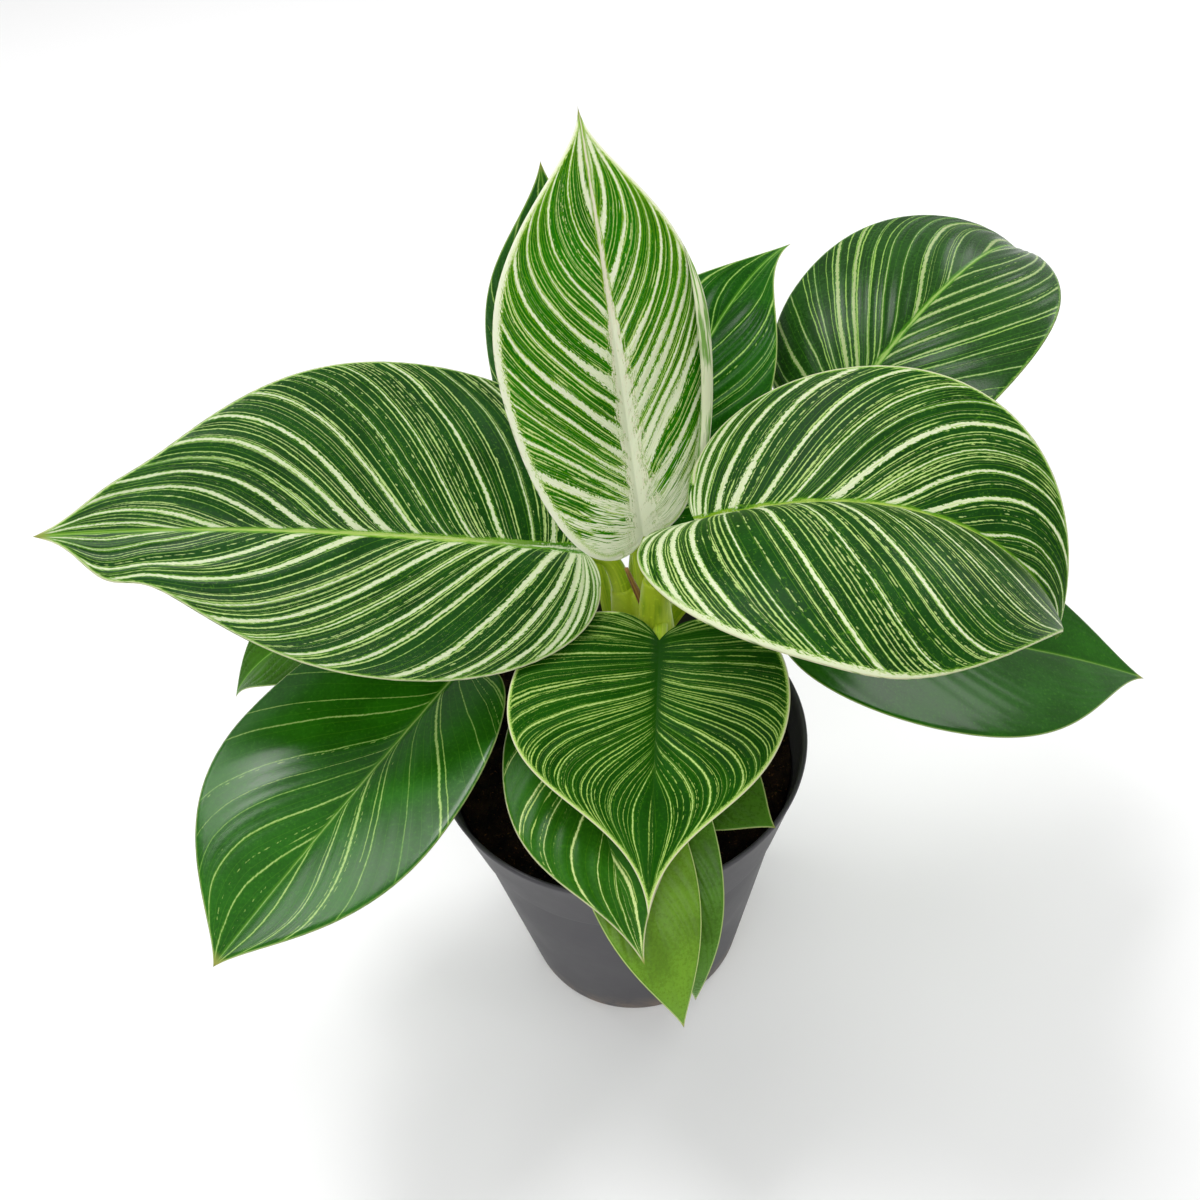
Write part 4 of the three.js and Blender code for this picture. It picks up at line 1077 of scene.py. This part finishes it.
# The soil's top: waves, crumbs of two sizes as (table, height, size), and its highest point.
# grains: how many, how far from the wall, their radius, how deep they sit, and their proportions and roughness.
SOIL = dict(rings=70, sides=200, wave=0.8, crumbs=[(64, 0.45, 3.1), (180, 0.3, 1.1)], highest=1.55)
GRAINS = dict(count=520, from_wall=3, size=(0.35, 1.35), lift=0.15, highest=1.6, shape=(0.6, 1.15), rough=0.12)


def soil_height(x, y):
    waves = np.sin(0.19 * x + 1) * np.cos(0.23 * y) + np.sin(0.41 * x - 0.33 * y)
    return SOIL_LEVEL + SOIL["wave"] * waves


def crumble(table, x, y, size):
    """A smooth random height over the soil, read from a table of random numbers."""
    x, y = (x + POT["rim"]) / size % len(table), (y + POT["rim"]) / size % len(table)
    i, j = np.floor(x).astype(int), np.floor(y).astype(int)
    share_x, share_y = x - i, y - j
    next_i, next_j = (i + 1) % len(table), (j + 1) % len(table)
    near = table[i, j] * (1 - share_x) + table[next_i, j] * share_x
    far = table[i, next_j] * (1 - share_x) + table[next_i, next_j] * share_x
    return near * (1 - share_y) + far * share_y


def soil_plug(rng, limit):
    """A crumbly top on a plain plug that fills the pot."""
    tables = [rng.normal(size=(count, count)) for count, _, _ in SOIL["crumbs"]]
    sides = SOIL["sides"]
    angle = 2 * math.pi * np.arange(sides) / sides
    points = []
    for i in range(SOIL["rings"] + 1):
        radius = limit * i / SOIL["rings"]
        x, y = radius * np.cos(angle), radius * np.sin(angle)
        z = soil_height(x, y)
        for table, (_, height, size) in zip(tables, SOIL["crumbs"]):
            z = z + height * crumble(table, x, y, size)
        points.extend(np.stack([x, y, np.minimum(z, SOIL_LEVEL + SOIL["highest"])], 1) * MM)
    points.extend(ring(wall_radius(COLLAR_FOOT) - POT["wall"] - GAP, COLLAR_FOOT, sides))
    points.extend(ring(wall_radius(2) - POT["wall"] - GAP, POT["floor"] + GAP, sides))
    faces = ring_faces(SOIL["rings"] + 3, sides)
    faces.append(tuple(range(len(points) - sides, len(points))))
    return points, faces


def soil_piece():
    """The plug and the loose grains, small lumps half sunk in its top."""
    rng = np.random.default_rng(SEED)
    limit = wall_radius(SOIL_LEVEL - 2) - POT["wall"] - GAP
    points, faces = soil_plug(rng, limit)
    lump = bmesh.new()
    bmesh.ops.create_icosphere(lump, subdivisions=1, radius=1.0)
    lump_points = np.array([v.co for v in lump.verts])
    lump_faces = [tuple(v.index for v in f.verts) for f in lump.faces]
    lump.free()
    for _ in range(GRAINS["count"]):
        radius = (limit - GRAINS["from_wall"]) * math.sqrt(rng.random())
        angle = rng.random() * 2 * math.pi
        x, y = radius * math.cos(angle), radius * math.sin(angle)
        size = rng.uniform(*GRAINS["size"])
        z = min(float(soil_height(x, y)) + GRAINS["lift"] * size, SOIL_LEVEL + GRAINS["highest"] - size)
        turn = np.array(Matrix.Rotation(rng.random() * 6.3, 3, Vector(rng.normal(size=3)).normalized()))
        shape = lump_points * (size * rng.uniform(*GRAINS["shape"], 3))
        shape = shape * (1 + rng.normal(scale=GRAINS["rough"], size=(len(lump_points), 1)))
        start = len(points)
        points.extend((shape @ turn.T + (x, y, z)) * MM)
        faces.extend([tuple(start + i for i in face) for face in lump_faces])
    return make_object("potting_soil", points, faces, {}, soil_material())


finish_piece(soil_piece(), "soil", "soil")

# ---------------------------------------------------------------- floor, light and camera

FLOOR_HALF = 6
corners = [(x * FLOOR_HALF, y * FLOOR_HALF, 0) for x, y in ((-1, -1), (1, -1), (1, 1), (-1, 1))]
white = Shader("floor").set(Base_Color=(0.92, 0.92, 0.92, 1.0), Roughness=0.9)
floor = make_object("floor", corners, [(0, 1, 2, 3)], {}, white)

world = bpy.data.worlds.new("studio")
world.use_nodes = True
world.node_tree.nodes["Background"].inputs["Color"].default_value = (1.0, 1.0, 1.0, 1.0)
world.node_tree.nodes["Background"].inputs["Strength"].default_value = 0.6
bpy.context.scene.world = world

# Area lights: azimuth and elevation in degrees, distance and size in metres, power in watts. All point at TARGET.
TARGET = Vector((0, 0, 0.15))
LIGHTS = dict(
    key=(128, 68, 1.5, (0.42, 0.42), 8.5),
    left=(150, 48, 1.5, (0.25, 0.5), 3.0),
    right=(38, 34, 1.5, (0.6, 0.5), 5.0),
    front=(-95, 48, 1.6, (1.4, 0.9), 9.0),
)
for name, (azimuth, elevation, distance, size, power) in LIGHTS.items():
    data = bpy.data.lights.new(name, "AREA")
    data.shape = "RECTANGLE"
    data.size, data.size_y = size
    data.energy = power
    light = bpy.data.objects.new(name, data)
    a, e = math.radians(azimuth), math.radians(elevation)
    away = Vector((math.cos(e) * math.cos(a), math.cos(e) * math.sin(a), math.sin(e)))
    light.location = away * distance + TARGET
    light.rotation_mode = "QUATERNION"
    light.rotation_quaternion = (-away).to_track_quat("-Z", "Y")
    bpy.context.scene.collection.objects.link(light)

# The camera looks down by pitch. heading and roll turn it to its left.
CAMERA = dict(place=(0, -236, 428), pitch=46.5, heading=-0.6, roll=-5.2, lens=36, sensor=36)
pitch, heading, roll = (math.radians(CAMERA[k]) for k in ("pitch", "heading", "roll"))
forward = Vector((math.cos(pitch) * math.sin(heading), math.cos(pitch) * math.cos(heading), -math.sin(pitch)))
level = forward.cross(Vector((0, 0, 1))).normalized()
upright = level.cross(forward)
right = math.cos(roll) * level + math.sin(roll) * upright
top = -math.sin(roll) * level + math.cos(roll) * upright
camera_data = bpy.data.cameras.new("photo_view")
camera_data.lens = CAMERA["lens"]
camera_data.sensor_width = CAMERA["sensor"]
camera = bpy.data.objects.new("photo_view", camera_data)
camera.matrix_world = Matrix((right, top, -forward)).transposed().to_4x4()
camera.location = Vector(CAMERA["place"]) * MM
bpy.context.scene.collection.objects.link(camera)
bpy.context.scene.camera = camera
bpy.context.scene.view_settings.view_transform = "Standard"
